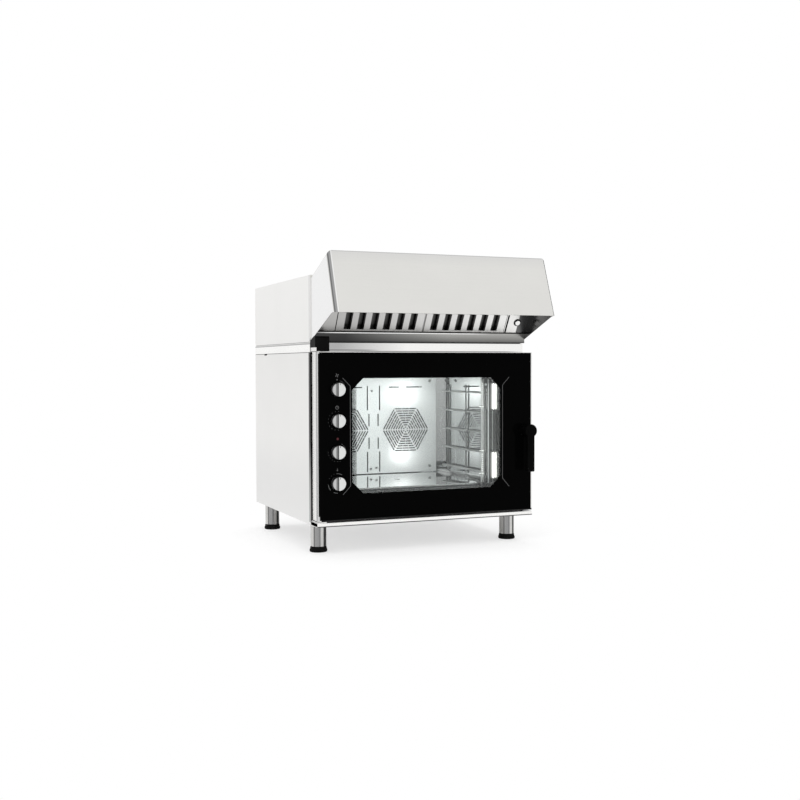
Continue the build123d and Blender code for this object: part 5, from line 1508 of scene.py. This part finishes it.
@dataclass
class Racks:
    """Round wire racks in place of the plain ones."""

    wall: float = 318.0
    first: float = 276.0
    pitch: float = 80.0
    levels: int = 5
    front: float = 40.0
    length: float = 396.0
    inner: float = 291.0
    outer: float = 306.0
    post_x: float = 311.5
    wire: float = 3.0
    bend: float = 7.0

    def build(self) -> List[bpy.types.Object]:
        """Make both racks."""
        made: List[bpy.types.Object] = []
        for name, hand in (("left", -1), ("right", 1)):
            wires = partial(self.shape, hand=hand)
            rack = add_piece(f"rack_{name}_wires", wires, "wire_steel", Body.CABINET, 60)
            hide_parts(f"rack_{name}")
            made.append(rack)
        return made

    def rod(self, bm: bmesh.types.BMesh, start: Vector, end: Vector) -> None:
        """Add a straight round rod with domed ends.

        Args:
            bm: Mesh to fill.
            start: One end in metres.
            end: Other end in metres.
        """
        radius = self.wire
        length = (end - start).length * 1000.0
        profile = [
            (0.0, 0.0),
            (radius * 0.7, 0.3),
            (radius, radius * 0.4),
            (radius, length - radius * 0.4),
            (radius * 0.7, length - 0.3),
            (0.0, length),
        ]
        add_lathe(bm, profile, start, (end - start).normalized(), 20)

    def loop(self, bm: bmesh.types.BMesh, hand: int, height: float) -> None:
        """Extrude a round wire along the straight sides of a loop and spin it round the corners.

        Args:
            bm: Mesh to fill.
            hand: -1 for the left rack and 1 for the right rack.
            height: Height of the loop in millimetres.
        """
        corner = self.bend
        side = (self.length - 2 * self.wire - 2 * corner) / 1000.0
        end = (self.outer - self.inner - 2 * corner) / 1000.0
        low_y = self.front + self.wire
        part = bmesh.new()
        bmesh.ops.create_circle(part, cap_ends=False, segments=12, radius=self.wire / 1000.0)
        tilt = Matrix.Rotation(math.pi / 2, 3, "X")
        bmesh.ops.rotate(part, verts=part.verts, cent=(0, 0, 0), matrix=tilt)
        bmesh.ops.translate(part, verts=part.verts, vec=place(self.outer, low_y + corner, height))
        edges = list(part.edges)
        centre = place(self.outer - corner, low_y + corner, height)
        way = Vector((0.0, 1.0, 0.0))
        for step in range(4):
            run = way * (side, end)[step % 2]
            grown = bmesh.ops.extrude_edge_only(part, edges=edges)["geom"]
            moved = [item for item in grown if isinstance(item, bmesh.types.BMVert)]
            bmesh.ops.translate(part, vec=run, verts=moved)
            fresh = set(moved)
            edges = [
                item for item in grown if isinstance(item, bmesh.types.BMEdge) and set(item.verts) <= fresh
            ]
            centre = centre + run
            last = spin(part, edges, (0, 0, 1), math.pi / 2, 6, centre)
            edges = [item for item in last if isinstance(item, bmesh.types.BMEdge)]
            way = Matrix.Rotation(math.pi / 2, 3, "Z") @ way
        bmesh.ops.remove_doubles(part, verts=part.verts, dist=1e-6)
        merge(bm, part, Matrix.Diagonal((hand, 1.0, 1.0, 1.0)))

    def shape(self, bm: bmesh.types.BMesh, hand: int) -> None:
        """Add posts, pins and loops of one rack.

        Args:
            bm: Mesh to fill.
            hand: -1 for the left rack and 1 for the right rack.
        """
        top = self.first + (self.levels - 1) * self.pitch
        post, wall = self.post_x * hand, self.wall * hand
        depths = (self.front + 20, self.front + self.length / 2, self.front + self.length - 20)
        for depth in depths:
            self.rod(bm, place(post, depth, self.first - 20), place(post, depth, top + 30))
        for depth, height in product(depths[::2], (self.first - 12, top + 20)):
            self.rod(bm, place(post, depth, height), place(wall, depth, height))
        for step in range(self.levels):
            self.loop(bm, hand, self.first + step * self.pitch)


@dataclass(frozen=True)
class ScrewRow:
    """Fasteners of one size, one at each crossing of some places in X, depth and height.

    Args:
        name: Piece that they belong to.
        xs: Millimetres to the right of the middle.
        depths: Millimetres behind the cabinet's front plane.
        heights: Millimetres above the floor.
        axis: Way that the heads point.
        radius: Radius of the heads in millimetres.
    """

    name: str
    xs: Tuple[float, ...]
    depths: Tuple[float, ...]
    heights: Tuple[float, ...]
    axis: Vector
    radius: float


@dataclass(frozen=True)
class Fasteners:
    """Screws, nuts and studs that hold the sheets together."""

    rows: Tuple[ScrewRow, ...] = (
        ScrewRow("rear_screws", (-430, -215, 0, 215, 430), (780,), (735, 122), BACK, 4.0),
        ScrewRow("rear_screws", (-440, 440), (780,), (280, 430, 580), BACK, 4.0),
        ScrewRow("hood_rear_screws", (-430, -215, 0, 215, 430), (780,), (806, 1034), BACK, 4.0),
        ScrewRow("deflector_nuts", (-255, 255), (DEFLECTOR_DEPTH,), (268, 640), AHEAD, 6.5),
        ScrewRow("deflector_studs", (-18,), (DEFLECTOR_DEPTH,), (598,), AHEAD, 5.0),
        ScrewRow("deflector_studs", (-23,), (DEFLECTOR_DEPTH,), (263,), AHEAD, 5.0),
        ScrewRow("deflector_studs", (3,), (DEFLECTOR_DEPTH,), (267,), AHEAD, 5.0),
        ScrewRow("frame_screws", (-324, -108, 108, 324), (0,), (219, 701), AHEAD, 3.4),
        ScrewRow("spigot_screws", (-85, 85), (515, 685), (1047.5,), UP, 4.5),
        ScrewRow("hood_roof_screws", (-425, 425), (90, 390, 690), (1046,), UP, 3.6),
    )

    def build(self) -> List[bpy.types.Object]:
        """Make one piece of fasteners for each name."""
        made: List[bpy.types.Object] = []
        for name in dict.fromkeys(row.name for row in self.rows):
            heads = partial(self.heads, name=name)
            made.append(add_piece(name, heads, "wire_steel", Body.CABINET, 40))
        return made

    def heads(self, bm: bmesh.types.BMesh, name: str) -> None:
        """Add the heads of every row of one piece."""
        for row in self.rows:
            if row.name == name:
                for spot in product(row.xs, row.depths, row.heights):
                    self.screw(bm, place(*spot), row.axis, row.radius)

    def screw(self, bm: bmesh.types.BMesh, origin: Vector, axis: Vector, radius: float) -> None:
        """Turn a button head with a socket."""
        profile = [
            (0.0, radius * 0.15),
            (radius * 0.38, radius * 0.15),
            (radius * 0.42, radius * 0.62),
            (radius * 0.7, radius * 0.55),
            (radius * 0.93, radius * 0.3),
            (radius, 0.0),
        ]
        add_lathe(bm, profile, origin, axis, 24)


@dataclass(frozen=True)
class CameraFit:
    """The camera that the photograph was taken with, as fitted to the oven's edges."""

    position: Point = (-1701.5, -3891.3, 704.2)
    yaw: float = 22.53
    pitch: float = -1.77
    roll: float = -0.15
    lens: float = 49.1

    def build(self) -> bpy.types.Object:
        """Make the camera and make it the scene's."""
        yaw, pitch, roll = (math.radians(value) for value in (self.yaw, self.pitch, self.roll))
        ahead = Vector((math.sin(yaw) * math.cos(pitch), math.cos(yaw) * math.cos(pitch), math.sin(pitch)))
        right = Vector((math.cos(yaw), -math.sin(yaw), 0.0))
        up = right.cross(ahead)
        side = right * math.cos(roll) + up * math.sin(roll)
        top = up * math.cos(roll) - right * math.sin(roll)
        data = bpy.data.cameras.new("photo_camera")
        data.lens = self.lens
        data.sensor_width = 36.0
        data.clip_end = 60.0
        made = bpy.data.objects.new("photo_camera", data)
        rows = Matrix((side, top, -ahead)).transposed().to_4x4()
        made.matrix_world = Matrix.Translation(place(*self.position)) @ rows
        bpy.context.scene.collection.objects.link(made)
        bpy.context.scene.camera = made
        return made


@dataclass
class Studio:
    """Pale floor, white surround, soft lights and the dark flags that give the steel its contrast.

    Args:
        lift: Share of plain white in the floor under the oven, which keeps its shadow pale.
        fade: Distance from the oven at which the floor has become plain white, in metres.
        spill: Strength of the surround as light.
    """

    lift: float = 0.55
    fade: float = 0.42
    spill: float = 0.82

    def build(self) -> List[bpy.types.Object]:
        """Make the whole studio."""
        before = set(bpy.data.objects)
        self.world()
        self.floor()
        self.lights()
        self.flag()
        scene = bpy.context.scene
        scene.view_settings.view_transform = "Standard"
        scene.view_settings.look = "None"
        scene.view_settings.exposure = 0.0
        scene.view_settings.gamma = 1.0
        return [item for item in bpy.data.objects if item not in before]

    def world(self) -> None:
        """Make a surround that is white to the camera and to mirrors, and softer as light."""
        world = bpy.data.worlds.new("studio_white")
        world.use_nodes = True
        graph = Graph(world.node_tree)
        path = graph.node("ShaderNodeLightPath")
        seen = path.out("Is Camera Ray").most(path.out("Is Glossy Ray")).most(path.out("Is Transmission Ray"))
        white, soft = (
            graph.node("ShaderNodeBackground", {"Color": (1.0, 1.0, 1.0), "Strength": strength}).out()
            for strength in (1.0, self.spill)
        )
        mixed = graph.node("ShaderNodeMixShader", {0: seen, 1: soft, 2: white}).out()
        graph.node("ShaderNodeOutputWorld", {"Surface": mixed})
        bpy.context.scene.world = world

    def floor(self) -> None:
        """Lay a wide pale floor."""
        bm = bmesh.new()
        bmesh.ops.create_grid(bm, x_segments=8, y_segments=8, size=14.0)
        floor = to_object(bm, "studio_floor")
        material, graph = new_material("floor_white")
        grain = graph.noise((2.0, 2.0, 2.0), 2.0)
        lit = graph.principled(
            Base_Color=graph.blend(grain, (0.93, 0.93, 0.935), (0.95, 0.95, 0.95)),
            Roughness=0.7,
            Specular_IOR_Level=0.1,
        )
        x, y, _ = graph.axes()
        side = (abs(x) - 0.43).most(0.0)
        front = (abs(y - (FRONT + 0.39)) - 0.37).most(0.0)
        away = ((side * side + front * front).math("SQRT") / self.fade).clamped()
        path = graph.node("ShaderNodeLightPath")
        mirrored = path.out("Is Glossy Ray") * away
        seen = path.out("Is Camera Ray").most(path.out("Is Transmission Ray"))
        white = graph.node("ShaderNodeEmission", {"Color": (1.0, 1.0, 1.0), "Strength": 1.0}).out()
        share = ((away * (1.0 - self.lift) + self.lift) * seen).most(mirrored)
        graph.surface(graph.node("ShaderNodeMixShader", {0: share, 1: lit, 2: white}).out())
        floor.data.materials.append(material)
        floor.location = (0, 0, -0.0004)
        bpy.context.scene.collection.objects.link(floor)

    def area(
        self,
        name: str,
        place_at: Vector,
        aim: Vector,
        size: Tuple[float, float],
        power: float,
        mirrored: bool = False,
    ) -> None:
        """Add one soft rectangular light.

        Args:
            name: Name of the light.
            place_at: Where it hangs, in metres.
            aim: What it points at, in metres.
            size: Width and height in metres.
            power: Power in watts.
            mirrored: Whether mirrors show it.
        """
        data = bpy.data.lights.new(name, "AREA")
        data.shape = "RECTANGLE"
        data.size, data.size_y = size
        data.energy = power
        made = bpy.data.objects.new(name, data)
        facing = (aim - place_at).to_track_quat("-Z", "Y").to_matrix().to_4x4()
        made.matrix_world = Matrix.Translation(place_at) @ facing
        made.visible_camera = False
        made.visible_glossy = mirrored
        bpy.context.scene.collection.objects.link(made)

    def lights(self) -> None:
        """Hang the key light, the overhead light and the lights that the lit chamber needs."""
        middle = place(0, 200, 500)
        self.area("key_light", place(-2300, -2600, 2600), middle, (2.0, 2.0), 60.0)
        self.area("top_light", place(200, 300, 3200), middle, (2.6, 2.6), 50.0)
        self.area("chamber_light", place(60, 200, 668), place(60, 200, 240), (0.4, 0.3), 1.8)
        self.area("chamber_front_light", place(-40, 20, 655), place(-20, 480, 400), (0.5, 0.04), 1.5)
        self.area("upper_lamp_glow", place(136, 404, 590), place(136, 484, 585), (0.08, 0.05), 0.24)
        self.area("lower_lamp_glow", place(130, 404, 318), place(126, 484, 322), (0.05, 0.05), 0.17)
        self.area("gap_light", place(290, 586, 480), place(290, 400, 480), (0.07, 0.41), 0.055, True)

    def flag(self) -> None:
        """Stand a dark card at the right that only mirrors show."""
        material, graph = new_material("flag_black")
        cloth = graph.noise((30.0, 30.0, 30.0), 2.0)
        shade = graph.blend(cloth, (0.01, 0.01, 0.01), (0.02, 0.02, 0.02))
        graph.surface(graph.principled(Base_Color=shade, Roughness=0.9))
        bm = bmesh.new()
        bmesh.ops.create_grid(bm, x_segments=2, y_segments=2, size=0.5)
        bmesh.ops.scale(bm, vec=(1.4, 2.0, 1.0), verts=bm.verts)
        turn = frame_of(place(2600, 900, 1500), Vector((-1, 0, 0)))
        bmesh.ops.transform(bm, matrix=turn, verts=bm.verts)
        card = to_object(bm, "flag_right")
        card.data.materials.append(material)
        card.visible_camera = False
        card.visible_diffuse = False
        card.visible_shadow = False
        bpy.context.scene.collection.objects.link(card)


def main() -> None:
    """Build the scene."""
    logging.basicConfig(level=logging.INFO)
    PALETTE.dress_nodes()
    LOG.info("dressed %d packed nodes", sum(len(nodes) for nodes in NODE_FINISH.values()))
    for kind in (KnobSet, DoorPrint, HandlePiece, Feet, Lamps, SlotRims, Racks, Fasteners):
        for piece in kind().build():
            LOG.info("%s: %s, %d faces", kind.__name__, piece.name, len(piece.data.polygons))
    LOG.info("camera: %s", CameraFit().build().name)
    for piece in Studio().build():
        LOG.info("Studio: %s", piece.name)


if __name__ == "__main__":
    main()
